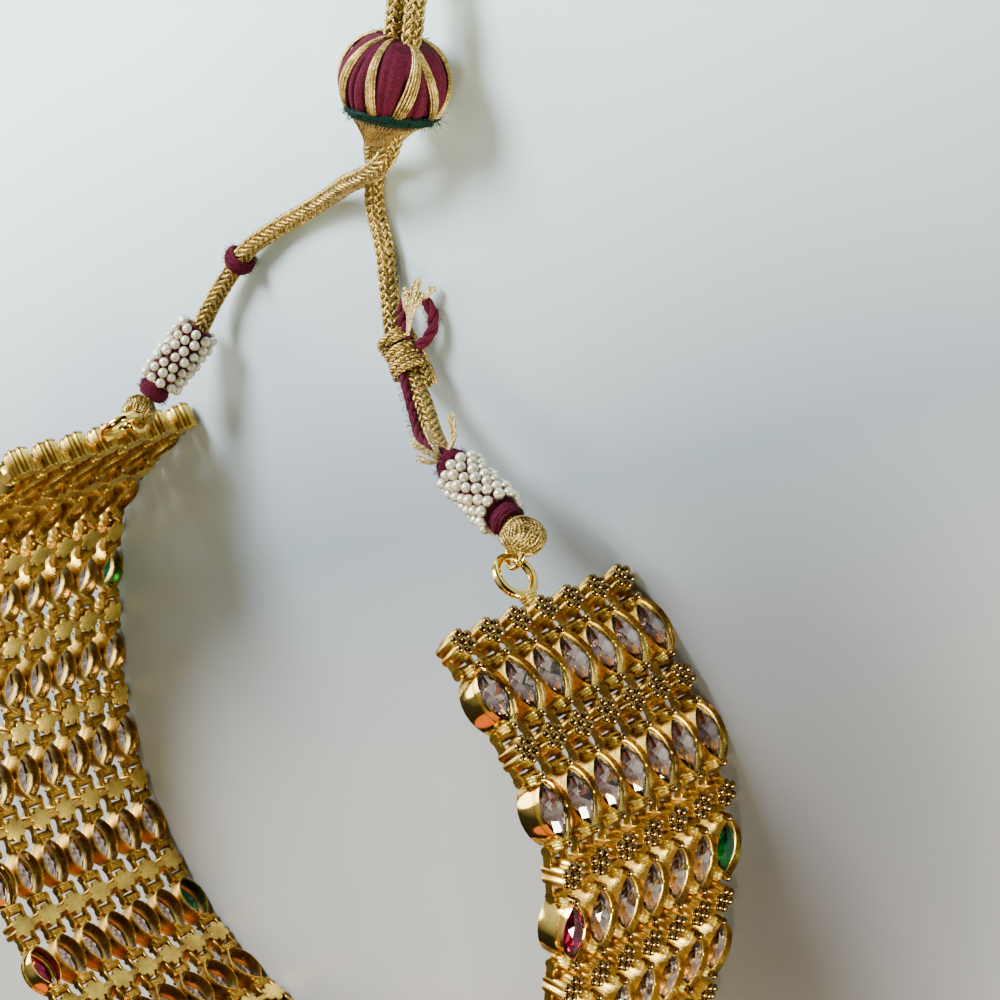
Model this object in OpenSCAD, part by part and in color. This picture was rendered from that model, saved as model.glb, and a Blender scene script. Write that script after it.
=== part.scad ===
// Kundan choker: seven strips of hinged settings and rosettes, with a corded closure.
// The band stands on its lower edge. X is its width, Y runs to the opening at the
// nape, Z is up, and the wearer's throat is on the side of -Y. All sizes in mm.

/* [Band] */
// Strips, one above the other
strip_count = 7; // [3:9]
// Height from one strip to the next
strip_pitch = 4.5; // [4:0.1:6]
// Centre of the right end rosette column across the band
end_x = 38.65; // [30:0.05:50]
// Centre of the right end rosette column along Y
end_y = 41.5; // [30:0.05:50]
// Back of the metal, behind the centre line of the band
metal_back = 1.8; // [1:0.1:3]

/* [Settings] */
// Length of a marquise setting, tip to tip
setting_length = 7.4; // [6:0.1:9]
// Width of a marquise setting
setting_width = 4.3; // [3:0.1:5]
// Front rim of a setting, ahead of the centre line
setting_front = 1.5; // [1:0.1:2]
// Wall round the stone
setting_wall = 0.35; // [0.25:0.05:0.6]
// Wall behind the seat of the stone
seat_wall = 0.55; // [0.4:0.05:0.9]
// Front of the seat, ahead of the centre line
seat_front = 0.7; // [0:0.1:1]
// Setting centre to its hinge
setting_reach = 4.0; // [3.8:0.1:5]

/* [Necks and hinges] */
// Hinge line, behind the centre line of the band
hinge_back = 0.9; // [0.5:0.1:1.2]
// Radius of the hinge eye
eye_radius = 0.7; // [0.6:0.05:1]
// Height of the hinge eye
eye_height = 1.9; // [1:0.1:2.5]
// Radius of the bore in the eye
eye_bore = 0.4; // [0.3:0.05:0.5]
// Radius of the hinge pin
pin_radius = 0.3; // [0.2:0.05:0.4]
// Thickness of each ear that holds the pin
ear_thickness = 0.45; // [0.3:0.05:0.8]
// Gap between the eye and each ear
ear_gap = 0.1; // [0.05:0.05:0.3]
// Radius of the knob rod at a tip
knob_radius = 0.42; // [0.3:0.02:0.6]

/* [Rosettes] */
// Rosette centre to its hinge
rosette_reach = 2.6; // [2.5:0.1:4]
// Radius of each of the six rods
rod_radius = 0.6; // [0.4:0.05:0.8]
// Spacing of the rods
rod_pitch = 1.14; // [0.9:0.02:1.4]
// Radius of the ball on each rod
ball_radius = 0.56; // [0.4:0.02:0.7]
// Centre of the balls, ahead of the centre line
ball_front = 1.35; // [1:0.05:1.8]

/* [Stones] */
// Gap between a stone and its wall
stone_gap = 0.06; // [0.03:0.01:0.15]
// Girdle of the stone, ahead of the centre line
girdle_front = 0.9; // [0.6:0.05:1.2]
// Table of the stone, ahead of the centre line
table_front = 1.75; // [1.5:0.05:2]
// Lowest point of the stone, from the centre line
culet_front = -0.9; // [-1.5:0.1:0]

/* [End rings] */
// Centre of the wire, from the centre of the eye ring
eye_ring_radius = 2.45; // [2:0.05:4]
// Radius of the eye ring's wire
eye_ring_wire = 0.55; // [0.3:0.05:0.8]
// Centre of the eye ring, from the end rosette
eye_ring_reach = 5.15; // [4:0.05:7]
// Centre of the wire, from the centre of the jump ring
jump_radius = 1.8; // [1.5:0.05:3]
// Radius of the jump ring's wire
jump_wire = 0.35; // [0.2:0.05:0.5]

/* [Cords] */
// Radius of the braided cord
cord_radius = 1.3; // [1:0.05:2]
// Bore of the pieces on the cord
cord_bore = 1.4; // [1.1:0.05:2.2]
// Radius of the thread ball on each jump ring
thread_ball = 1.8; // [1.6:0.05:2.5]
// Thread ball's centre to the cord's first face
cord_start = 2.35; // [2.2:0.05:3]
// Radius of a pearl sleeve
sleeve_radius = 3.3; // [2.5:0.1:4]
// Length of a pearl sleeve
sleeve_length = 9.4; // [6:0.1:12]
// Radius of a silk wrap
wrap_radius = 2.1; // [1.7:0.1:3]
// Length of a silk wrap
wrap_length = 2.2; // [1:0.1:4]
// Radius of the slider bead
bead_radius = 6.7; // [5:0.1:8]
// Length of the slider bead along the cords
bead_length = 11; // [8:0.5:14]
// Half the spacing of the two cords in the bead
cord_side = 1.45; // [1.35:0.05:2]

/* [Hidden] */
$fn = 64;

// Heading of each column of the right half, from the end to the middle setting.
// Even places are rosettes and odd places are settings.
HEADINGS = [-40, -44, -46, -57, -80, -86, -91, -95, -101, -108,
            -116, -125, -134, -143, -151, -159, -165, -171, -176, -180];
middle = len(HEADINGS) - 1;
last_column = 2 * middle;

// Settings counted from the right end that hold coloured edge stones.
COLOURED = [3, 7, 10, 13, 17];

// Arcs of the marquise outline.
arc_radius = (pow(setting_length, 2) + pow(setting_width, 2)) / (4 * setting_width);
arc_offset = arc_radius - setting_width / 2;

function along(h) = [cos(h), sin(h)];
function outward(h) = [-sin(h), cos(h)];
function reach(k) = k % 2 == 0 ? rosette_reach : setting_reach;
function unit(v) = v / norm(v);

// Plan position of a column's centre in the right half.
function place(k) = k == 0 ? [end_x, end_y] :
    place(k - 1)
    + reach(k - 1) * along(HEADINGS[k - 1]) - hinge_back * outward(HEADINGS[k - 1])
    + reach(k) * along(HEADINGS[k]) + hinge_back * outward(HEADINGS[k]);

// The left half mirrors the right one, and the middle setting is on X = 0.
function centre(k) = k < middle ? place(k)
    : k == middle ? [0, place(k)[1]]
    : [-place(last_column - k)[0], place(last_column - k)[1]];
function heading(k) = k <= middle ? HEADINGS[k] : -360 - HEADINGS[last_column - k];

// Height of a strip's middle, strip 1 at the top.
function strip_z(s) = setting_width / 2 + (strip_count - s) * strip_pitch;
ring_strip = (strip_count + 1) / 2;

module at_column(k) {
    translate([centre(k)[0], centre(k)[1], 0])
        rotate([0, 0, heading(k)])
            children();
}

// Turns a flat outline to face outward, from the front depth back.
module plate(front, back) {
    translate([0, front, 0])
        rotate([90, 0, 0])
            linear_extrude(front - back)
                children();
}

module marquise(inset) {
    intersection() {
        translate([0, -arc_offset]) circle(r = arc_radius - inset);
        translate([0, arc_offset]) circle(r = arc_radius - inset);
    }
}

// One setting: an open box with a seat, a neck and a knob at each tip.
module setting() {
    difference() {
        union() {
            plate(setting_front, -metal_back) marquise(0);
            for (side = [-1, 1]) {
                translate([side * setting_reach, -hinge_back, -eye_height / 2])
                    cylinder(r = eye_radius, h = eye_height);
                translate([side * 3.65 - 0.5, -metal_back + 0.15, -0.75])
                    cube([1.0, 2.5, 1.5]);
            }
        }
        plate(setting_front + 1, seat_front) marquise(setting_wall);
        plate(setting_front, -metal_back - 1) marquise(seat_wall);
        for (side = [-1, 1])
            translate([side * setting_reach, -hinge_back, -eye_height])
                cylinder(r = eye_bore, h = 2 * eye_height);
    }
    for (side = [-1, 1]) {
        translate([side * 3.85, setting_front + 0.05, 0])
            rotate([90, 0, 0])
                cylinder(r = knob_radius, h = 1.2);
        translate([side * 3.85, setting_front + 0.05, 0])
            sphere(r = knob_radius + 0.06);
    }
}

// A column of settings, soldered where neighbours touch.
module marquise_bar(n) {
    color("gold")
        at_column(2 * n - 1) {
            for (s = [1:strip_count])
                translate([0, 0, strip_z(s)])
                    setting();
            for (s = [1:strip_count - 1])
                translate([-0.4, -1.2, strip_z(s) - strip_pitch / 2 - 0.3])
                    cube([0.8, 2.4, 0.6]);
        }
}

// One rosette: six rods round a solid middle, seven balls on the front.
module rosette() {
    plate(ball_front, -metal_back) {
        circle(r = rod_pitch - 0.1);
        for (a = [0:60:300])
            rotate(a) translate([rod_pitch, 0]) circle(r = rod_radius);
    }
    translate([0, ball_front, 0]) sphere(r = ball_radius);
    for (a = [0:60:300])
        translate([rod_pitch * cos(a), ball_front, rod_pitch * sin(a)])
            sphere(r = ball_radius);
}

// Two ears and the pin between them, on one side of a rosette.
module ears(side) {
    for (top = [-1, 1]) {
        z = top * (eye_height / 2 + ear_gap + ear_thickness / 2);
        translate([side * rosette_reach, -hinge_back, z])
            cylinder(r = eye_radius, h = ear_thickness, center = true);
        translate([side * (0.3 + rosette_reach) / 2, -hinge_back, z])
            cube([rosette_reach - 0.3, 1.1, ear_thickness], center = true);
    }
    translate([side * rosette_reach, -hinge_back, 0])
        cylinder(r = pin_radius, h = eye_height + 2 * ear_gap + ear_thickness, center = true);
}

// The soldered eye ring of an end column, on a short stem.
module eye_ring(side) {
    translate([side * eye_ring_reach, 0, strip_z(ring_strip)])
        rotate([90, 0, 0])
            rotate_extrude()
                translate([eye_ring_radius, 0]) circle(r = eye_ring_wire);
    translate([side * 1.2, 0, strip_z(ring_strip)])
        rotate([0, side * 90, 0])
            cylinder(r = 0.7, h = 1.3);
}

// A column of rosettes, joined by a low bar at the back.
module rosette_bar(n) {
    k = 2 * n - 2;
    color("goldenrod")
        at_column(k) {
            for (s = [1:strip_count])
                translate([0, 0, strip_z(s)]) {
                    rosette();
                    if (k > 0) ears(-1);
                    if (k < last_column) ears(1);
                }
            for (s = [1:strip_count - 1])
                translate([-0.45, -metal_back + 0.1, strip_z(s) - strip_pitch / 2 - 1])
                    cube([0.9, 1.3, 2]);
            if (k == 0) eye_ring(-1);
            if (k == last_column) eye_ring(1);
        }
}

// Outline of a stone: eight corners on the inside of the wall.
stone_arc = arc_radius - setting_wall - stone_gap;
stone_half = sqrt(pow(stone_arc, 2) - pow(arc_offset, 2));
function rim(i) = let (x = stone_half * cos(45 * i))
    [x, sign(round(10 * sin(45 * i))) * (sqrt(pow(stone_arc, 2) - x * x) - arc_offset)];

// Eight corners of the girdle, eight of the table and the culet.
function stone_shape() = [
    for (i = [0:7]) [rim(i)[0], girdle_front, rim(i)[1]],
    for (i = [0:7]) [0.7 * rim(i)[0], table_front, 0.6 * rim(i)[1]],
    [0, culet_front, 0]
];

// Triangles of one stone, counted from its first corner.
function stone_faces(f) = [
    for (i = [0:7]) [f + i, f + (i + 1) % 8, f + 8 + i],
    for (i = [0:7]) [f + (i + 1) % 8, f + 8 + (i + 1) % 8, f + 8 + i],
    for (i = [1:6]) [f + 8, f + 8 + i, f + 9 + i],
    for (i = [0:7]) [f + (i + 1) % 8, f + i, f + 16]
];

// A corner moved from a setting's own frame to the band.
function set_in(p, k, z) = [
    centre(k)[0] + p[0] * cos(heading(k)) - p[1] * sin(heading(k)),
    centre(k)[1] + p[0] * sin(heading(k)) + p[1] * cos(heading(k)),
    p[2] + z
];

function coloured(n) = len(search(n, COLOURED)) > 0;

// Stones of a list of places, each given as a setting's number and its strip.
module stones(places) {
    shape = stone_shape();
    corners = [for (q = places) for (p = shape) set_in(p, 2 * q[0] - 1, strip_z(q[1]))];
    faces = [for (j = [0:len(places) - 1]) each stone_faces(17 * j)];
    polyhedron(points = corners, faces = faces);
}

module clear_stones() {
    color("rosybrown")
        stones([for (n = [1:middle]) for (s = [1:strip_count])
            if (!coloured(n) || (s > 1 && s < strip_count)) [n, s]]);
}

module ruby_stones() {
    color("crimson") stones([for (n = COLOURED) [n, 1]]);
}

module emerald_stones() {
    color("seagreen") stones([for (n = COLOURED) [n, strip_count]]);
}

// Centre of each eye ring, where its jump ring hangs and the way that it is pulled.
eye_right = [end_x - eye_ring_reach * cos(heading(0)),
             end_y - eye_ring_reach * sin(heading(0)), strip_z(ring_strip)];
eye_left = [-eye_right[0], eye_right[1], eye_right[2]];
wire_right = eye_right + eye_ring_radius * unit([-0.65, 0.545, -0.526]);
wire_left = eye_left + eye_ring_radius * unit([-0.222, -0.187, -0.957]);
pull_right = unit([0.31, 0.92, -0.22]);
pull_left = unit([-0.56, 0.18, -0.8]);
tangent_right = [-0.403, 0.338, 0.85];
tangent_left = [0.733, 0.615, -0.29];
slack = jump_radius - jump_wire - eye_ring_wire - 0.1;
jump_right = wire_right + slack * pull_right;
jump_left = wire_left + slack * pull_left;
grip = jump_radius + 0.4;
ball_right = jump_right + grip * pull_right;
ball_left = jump_left + grip * pull_left;

// The straight way of each cord from its thread ball.
way_right = unit([-0.943, 0.239, -0.231]);
way_left = unit([0.323, 0.812, -0.489]);

// Places children with X along one direction and Z near another.
module frame_at(origin, x_way, z_near) {
    x = unit(x_way);
    y = unit(cross(z_near, x));
    z = cross(x, y);
    multmatrix([
        [x[0], y[0], z[0], origin[0]],
        [x[1], y[1], z[1], origin[1]],
        [x[2], y[2], z[2], origin[2]],
        [0, 0, 0, 1]
    ])
        children();
}

module ring(radius, wire) {
    rotate_extrude()
        translate([radius, 0]) circle(r = wire);
}

module jump_ring(origin, pull, tangent, wire) {
    color("gold")
        frame_at(origin, pull, tangent)
            ring(jump_radius, wire);
}

// A ball of braid on the jump ring, with a neck to the cord's first face.
module thread_loop(origin, jump, pull, tangent, cord_way) {
    color("khaki")
        difference() {
            union() {
                translate(origin) sphere(r = thread_ball);
                frame_at(origin, cord_way, [0, 0, 1])
                    translate([thread_ball - 0.5, 0, 0])
                        rotate([0, 90, 0])
                            cylinder(r = 0.95, h = cord_start - thread_ball + 0.45);
            }
            jump_ring(jump, pull, tangent, jump_wire + 0.1);
        }
}

// Slider bead: middle, heading and the side of each cord.
bead_centre = [5.1, 95.0, bead_radius + 0.05];
bead_heading = 78;
bead_along = [cos(bead_heading), sin(bead_heading), 0];
bead_side = [sin(bead_heading), -cos(bead_heading), 0];
bead_straight = bead_length / 2 + 0.7;

// Route of each cord, from its loop to its end.
RIGHT_ROUTE = [
    ball_right + cord_start * way_right, ball_right + 3.5 * way_right,
    ball_right + 9.4 * way_right, ball_right + 15.3 * way_right,
    ball_right + 17 * way_right,
    [14.6, 54.1, 8.2], [10.8, 56.3, 6.0], [6.2, 59.2, 3.8], [2.4, 62.9, 2.9],
    [0.5, 66.8, 1.9], [-1.1, 72.8, 1.4], [-3.0, 78.4, 1.4], [-2.6, 82.4, 1.8],
    [-0.4, 86.0, 4.4],
    bead_centre - bead_straight * bead_along - cord_side * bead_side,
    bead_centre + bead_straight * bead_along - cord_side * bead_side,
    [4.7, 105.2, 6.0], [4.5, 109.5, 3.9], [4.5, 114.0, 2.0], [4.5, 118.0, 3.0],
    [4.5, 123.0, 3.0]
];
LEFT_ROUTE = [
    ball_left + cord_start * way_left, ball_left + 3.5 * way_left,
    ball_left + 9.4 * way_left, ball_left + 14.6 * way_left,
    [-31.9, 58.0, 3.3], [-28.0, 64.6, 2.3], [-25.2, 68.0, 2.2], [-21.3, 71.1, 1.5],
    [-16.3, 74.2, 1.4], [-10.0, 77.9, 2.3], [-4.2, 81.0, 4.7], [1.2, 83.6, 6.3],
    [4.2, 86.0, 6.8],
    bead_centre - bead_straight * bead_along + cord_side * bead_side,
    bead_centre + bead_straight * bead_along + cord_side * bead_side,
    [7.6, 105.0, 6.0], [7.4, 109.5, 3.9], [7.4, 114.0, 2.0], [7.4, 118.0, 3.0],
    [7.4, 123.0, 3.0]
];

// One ring of a tube, square to the mean way through its route point.
function way(route, i) = i == 0 ? unit(route[1] - route[0])
    : i == len(route) - 1 ? unit(route[i] - route[i - 1])
    : unit(unit(route[i] - route[i - 1]) + unit(route[i + 1] - route[i]));
function tube_ring(route, i, r) = let (
        w = way(route, i),
        side = unit(cross(w, [0, 0, 1])),
        up = cross(side, w)
    ) [for (j = [0:7]) route[i] + r * (cos(45 * j) * side + sin(45 * j) * up)];

module tube(route, r) {
    n = len(route);
    corners = [for (i = [0:n - 1]) each tube_ring(route, i, r)];
    sides = [for (i = [0:n - 2]) for (j = [0:7])
        [8 * i + j, 8 * i + 8 + j, 8 * i + 8 + (j + 1) % 8, 8 * i + (j + 1) % 8]];
    first = [[for (j = [0:7]) j]];
    last = [[for (j = [7:-1:0]) 8 * (n - 1) + j]];
    polyhedron(points = corners, faces = concat(sides, first, last));
}

// Children on a cord between two route points, with Z along the cord.
module on_cord(route, i, t) {
    frame_at(route[i] + t * (route[i + 1] - route[i]), route[i + 1] - route[i], [0, 0, 1])
        rotate([0, 90, 0])
            children();
}

// A soft ring round the cord, with rounded rims.
module collar(radius, length, edge) {
    difference() {
        union() {
            cylinder(r = radius, h = length - 2 * edge, center = true);
            cylinder(r = radius - edge, h = length, center = true);
            for (end = [-1, 1])
                translate([0, 0, end * (length / 2 - edge)])
                    ring(radius - edge, edge);
        }
        cylinder(r = cord_bore, h = length + 1, center = true);
    }
}

module slider_bead() {
    color("maroon")
        frame_at(bead_centre, bead_along, [0, 0, 1])
            difference() {
                rotate([0, 90, 0])
                    rotate_extrude()
                        intersection() {
                            translate([bead_radius - 5.6, 0]) circle(r = 5.6);
                            translate([0, -bead_length / 2])
                                square([bead_radius, bead_length]);
                        }
                for (side = [-1, 1])
                    translate([0, side * cord_side, 0])
                        rotate([0, 90, 0])
                            cylinder(r = cord_bore, h = bead_length + 4, center = true);
                cube([bead_length + 4, 2 * cord_side, 2 * cord_bore - 0.4], center = true);
            }
}

// Three turns of braid round the cord.
module gold_knot_right() {
    color("gold")
        on_cord(RIGHT_ROUTE, 7, 0.5)
            difference() {
                union() {
                    cylinder(r = 2.2, h = 4.6, center = true);
                    for (turn = [-1.6, 0, 1.6])
                        translate([0, 0, turn]) ring(1.75, 0.95);
                }
                cylinder(r = cord_bore, h = 8, center = true);
            }
}

module end_knot() {
    color("gold")
        difference() {
            translate([5.95, 123, 3.25]) sphere(r = 3.2);
            for (x = [4.5, 7.4])
                translate([x, 117, 3.0])
                    rotate([-90, 0, 0])
                        cylinder(r = cord_bore, h = 6.1);
        }
}

module marquise_bar_01() { marquise_bar(1); }
module marquise_bar_02() { marquise_bar(2); }
module marquise_bar_03() { marquise_bar(3); }
module marquise_bar_04() { marquise_bar(4); }
module marquise_bar_05() { marquise_bar(5); }
module marquise_bar_06() { marquise_bar(6); }
module marquise_bar_07() { marquise_bar(7); }
module marquise_bar_08() { marquise_bar(8); }
module marquise_bar_09() { marquise_bar(9); }
module marquise_bar_10() { marquise_bar(10); }
module marquise_bar_11() { marquise_bar(11); }
module marquise_bar_12() { marquise_bar(12); }
module marquise_bar_13() { marquise_bar(13); }
module marquise_bar_14() { marquise_bar(14); }
module marquise_bar_15() { marquise_bar(15); }
module marquise_bar_16() { marquise_bar(16); }
module marquise_bar_17() { marquise_bar(17); }
module marquise_bar_18() { marquise_bar(18); }
module marquise_bar_19() { marquise_bar(19); }
module rosette_bar_01() { rosette_bar(1); }
module rosette_bar_02() { rosette_bar(2); }
module rosette_bar_03() { rosette_bar(3); }
module rosette_bar_04() { rosette_bar(4); }
module rosette_bar_05() { rosette_bar(5); }
module rosette_bar_06() { rosette_bar(6); }
module rosette_bar_07() { rosette_bar(7); }
module rosette_bar_08() { rosette_bar(8); }
module rosette_bar_09() { rosette_bar(9); }
module rosette_bar_10() { rosette_bar(10); }
module rosette_bar_11() { rosette_bar(11); }
module rosette_bar_12() { rosette_bar(12); }
module rosette_bar_13() { rosette_bar(13); }
module rosette_bar_14() { rosette_bar(14); }
module rosette_bar_15() { rosette_bar(15); }
module rosette_bar_16() { rosette_bar(16); }
module rosette_bar_17() { rosette_bar(17); }
module rosette_bar_18() { rosette_bar(18); }
module rosette_bar_19() { rosette_bar(19); }
module rosette_bar_20() { rosette_bar(20); }
module jump_ring_right() { jump_ring(jump_right, pull_right, tangent_right, jump_wire); }
module jump_ring_left() { jump_ring(jump_left, pull_left, tangent_left, jump_wire); }
module thread_loop_right() {
    thread_loop(ball_right, jump_right, pull_right, tangent_right, way_right);
}
module thread_loop_left() {
    thread_loop(ball_left, jump_left, pull_left, tangent_left, way_left);
}
module lower_wrap_right() {
    color("maroon") on_cord(RIGHT_ROUTE, 1, 0) collar(wrap_radius, wrap_length, 0.6);
}
module lower_wrap_left() {
    color("maroon") on_cord(LEFT_ROUTE, 1, 0) collar(wrap_radius, wrap_length, 0.6);
}
module pearl_sleeve_right() {
    color("ivory") on_cord(RIGHT_ROUTE, 2, 0) collar(sleeve_radius, sleeve_length, 1);
}
module pearl_sleeve_left() {
    color("ivory") on_cord(LEFT_ROUTE, 2, 0) collar(sleeve_radius, sleeve_length, 1);
}
module upper_wrap_right() {
    color("maroon") on_cord(RIGHT_ROUTE, 3, 0) collar(wrap_radius, wrap_length, 0.6);
}
module upper_wrap_left() {
    color("maroon") on_cord(LEFT_ROUTE, 5, 0.5) collar(wrap_radius, wrap_length, 0.6);
}
module thick_braid_left() {
    color("gold") on_cord(LEFT_ROUTE, 4, 0.5) collar(1.9, 6.6, 0.4);
}
module cord_right() { color("gold") tube(RIGHT_ROUTE, cord_radius); }
module cord_left() { color("gold") tube(LEFT_ROUTE, cord_radius); }

marquise_bar_01();
marquise_bar_02();
marquise_bar_03();
marquise_bar_04();
marquise_bar_05();
marquise_bar_06();
marquise_bar_07();
marquise_bar_08();
marquise_bar_09();
marquise_bar_10();
marquise_bar_11();
marquise_bar_12();
marquise_bar_13();
marquise_bar_14();
marquise_bar_15();
marquise_bar_16();
marquise_bar_17();
marquise_bar_18();
marquise_bar_19();
rosette_bar_01();
rosette_bar_02();
rosette_bar_03();
rosette_bar_04();
rosette_bar_05();
rosette_bar_06();
rosette_bar_07();
rosette_bar_08();
rosette_bar_09();
rosette_bar_10();
rosette_bar_11();
rosette_bar_12();
rosette_bar_13();
rosette_bar_14();
rosette_bar_15();
rosette_bar_16();
rosette_bar_17();
rosette_bar_18();
rosette_bar_19();
rosette_bar_20();
clear_stones();
ruby_stones();
emerald_stones();
jump_ring_right();
jump_ring_left();
thread_loop_right();
thread_loop_left();
lower_wrap_right();
lower_wrap_left();
pearl_sleeve_right();
pearl_sleeve_left();
upper_wrap_right();
upper_wrap_left();
thick_braid_left();
gold_knot_right();
cord_right();
cord_left();
slider_bead();
end_knot();
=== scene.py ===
# %% [markdown]
# # A kundan choker
# The necklace is a band of seven gold strips, set with marquise stones between granulated rosettes,
# and two braided cords that pass through a silk slider bead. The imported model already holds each
# part at its real size. This lesson loads it, then gives each part the shape and finish of the real
# thing: cast gold, cut glass, zari braid and silk.

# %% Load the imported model
import math
import random

import bmesh
import bpy
from mathutils import Matrix, Vector, noise


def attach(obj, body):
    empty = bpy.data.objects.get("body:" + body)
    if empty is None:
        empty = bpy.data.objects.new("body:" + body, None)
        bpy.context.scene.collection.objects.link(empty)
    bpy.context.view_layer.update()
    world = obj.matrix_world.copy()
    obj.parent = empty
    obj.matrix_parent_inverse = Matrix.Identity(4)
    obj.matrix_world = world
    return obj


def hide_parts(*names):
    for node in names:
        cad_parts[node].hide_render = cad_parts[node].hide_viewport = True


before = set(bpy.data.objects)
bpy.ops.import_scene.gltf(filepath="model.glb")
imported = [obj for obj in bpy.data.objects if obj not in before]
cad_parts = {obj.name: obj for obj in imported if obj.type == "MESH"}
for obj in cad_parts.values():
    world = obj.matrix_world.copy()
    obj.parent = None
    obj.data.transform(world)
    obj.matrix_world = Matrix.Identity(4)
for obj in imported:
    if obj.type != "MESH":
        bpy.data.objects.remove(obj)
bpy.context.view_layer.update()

# %% [markdown]
# ## The camera
# The photo looks down at the necklace from the right of its opening, from a camera turned on its
# side. A camera is only a place and three directions, so the picture's right and up are written as
# directions in the necklace's frame.

# %% Camera
CAMERA_PLACE = Vector((0.1910, 0.1448, 0.1960))
# Sensor width and focal length, in millimetres.
SENSOR_WIDTH = 36
FOCAL_LENGTH = 82.8
IMAGE_RIGHT = Vector((0.7392, 0.0405, -0.6724)).normalized()
IMAGE_UP = Vector((-0.2677, 0.9337, -0.2381)).normalized()


def make_camera():
    data = bpy.data.cameras.new("view")
    data.sensor_width = SENSOR_WIDTH
    data.lens = FOCAL_LENGTH
    data.clip_start = 0.01
    camera = bpy.data.objects.new("view", data)
    bpy.context.scene.collection.objects.link(camera)
    turn = Matrix((IMAGE_RIGHT, IMAGE_UP, IMAGE_RIGHT.cross(IMAGE_UP))).transposed()
    camera.matrix_world = Matrix.Translation(CAMERA_PLACE) @ turn.to_4x4()
    bpy.context.scene.camera = camera


make_camera()
print("camera height in mm:", round(1000 * CAMERA_PLACE.z))

# %% [markdown]
# ## Materials
# Each finish is a Principled shader. Gold is a metal whose colour is its reflection, so it needs
# only a warm base, a roughness, and a bump at the scale of its tool marks. Small helpers keep the
# node wiring readable.

# %% Helpers for materials
def new_finish(name, **sockets):
    """A material, its nodes and its shader, with some sockets set."""
    material = bpy.data.materials.new(name)
    material.use_nodes = True
    tree = material.node_tree
    shader = tree.nodes["Principled BSDF"]
    for socket, value in sockets.items():
        shader.inputs[socket.replace("_", " ")].default_value = value
    return material, tree, shader


def add_node(tree, kind, links=None, **settings):
    """A node with its settings, and links from other nodes' outputs into its inputs."""
    made = tree.nodes.new("ShaderNode" + kind)
    for key, value in settings.items():
        if key in made.inputs:
            made.inputs[key].default_value = value
        else:
            setattr(made, key, value)
    for key, output in (links or {}).items():
        tree.links.new(output, made.inputs[key])
    return made


def place_on(tree):
    """Object coordinates in millimetres."""
    where = add_node(tree, "TexCoord").outputs["Object"]
    scaled = add_node(tree, "Mapping", {"Vector": where})
    scaled.inputs["Scale"].default_value = (1000, 1000, 1000)
    return scaled.outputs["Vector"]


def local_place(tree, squeeze=(1, 1, 1)):
    """The place on one setting or rosette, in millimetres, kept from before it was put on the band."""
    where = add_node(tree, "Attribute", attribute_name="spot").outputs["Vector"]
    scaled = add_node(tree, "Mapping", {"Vector": where})
    scaled.inputs["Scale"].default_value = squeeze
    return scaled.outputs["Vector"]


def ramp(tree, factor, *stops):
    """A colour ramp from (position, colour) stops."""
    made = add_node(tree, "ValToRGB", {"Fac": factor})
    band = made.color_ramp
    while len(band.elements) < len(stops):
        band.elements.new(0.5)
    for element, (position, colour) in zip(band.elements, stops):
        element.position = position
        element.color = (*colour, 1)
    return made.outputs["Color"]


def soft_noise(tree, scale, detail):
    """Noise over a piece, whose scale is per millimetre."""
    made = add_node(tree, "TexNoise", {"Vector": place_on(tree)}, Scale=scale, Detail=detail)
    return made.outputs["Fac"]


def colour_by(tree, shader, factor, *stops):
    """Colours a finish by a ramp over a factor."""
    tree.links.new(ramp(tree, factor, *stops), shader.inputs["Base Color"])


def bump(tree, shader, height, strength, depth):
    """Bump from a height, whose depth is in millimetres."""
    made = add_node(tree, "Bump", {"Height": height}, Strength=strength, Distance=depth / 1000)
    tree.links.new(made.outputs["Normal"], shader.inputs["Normal"])


# %% [markdown]
# ## Gold finishes
# The walls of the settings and the rosettes' bodies are brushed from front to back. The necks
# between the stones are struck with small pricks, whose sides sparkle. The granules are darker,
# because polish doesn't reach between them and the plating has toned. The brushed and the struck
# gold also carry painted shade: their colour turns brown behind their fronts, and is bright again
# on the very back. The top strip's outer walls are polished, and mirror the room.

# %% Gold
# Back of the metal along a piece's own Y, in millimetres.
METAL_BACK = -1.8
# Brown of the painted shade behind the fronts, and white where no shade is painted.
PAINTED_SHADE_BROWN = (0.52, 0.41, 0.27)
UNSHADED = (1, 1, 1)


def painted_shade_behind(tree, colour, bright_from):
    """A colour darkened by painted shade behind a depth in millimetres, and bright again on the very
    back.
    """
    depth = add_node(tree, "SeparateXYZ", {"Vector": local_place(tree)}).outputs["Y"]
    level = add_node(tree, "MapRange", {"Value": depth})
    level.inputs["From Min"].default_value = METAL_BACK
    level.inputs["From Max"].default_value = bright_from
    shade = ramp(
        tree, level.outputs["Result"],
        (0.0, UNSHADED), (0.07, PAINTED_SHADE_BROWN), (0.5, PAINTED_SHADE_BROWN), (1.0, UNSHADED),
    )
    return add_node(tree, "VectorMath", {0: colour, 1: shade}, operation="MULTIPLY").outputs["Vector"]


def brushed_gold():
    material, tree, shader = new_finish("brushed_gold", Metallic=1.0)
    strokes = local_place(tree, (9, 0.7, 9))
    lines = add_node(tree, "TexNoise", {"Vector": strokes}, Scale=1.0, Detail=3.0)
    cloud = soft_noise(tree, 0.35, 2.0)
    colour = ramp(tree, cloud, (0.3, (0.50, 0.32, 0.07)), (0.7, (1.0, 0.74, 0.15)))
    tree.links.new(painted_shade_behind(tree, colour, 1.0), shader.inputs["Base Color"])
    rough = add_node(tree, "MapRange", {"Value": lines.outputs["Fac"]})
    rough.inputs["To Min"].default_value = 0.16
    rough.inputs["To Max"].default_value = 0.42
    tree.links.new(rough.outputs["Result"], shader.inputs["Roughness"])
    bump(tree, shader, lines.outputs["Fac"], 0.5, 0.06)
    return material


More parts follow.
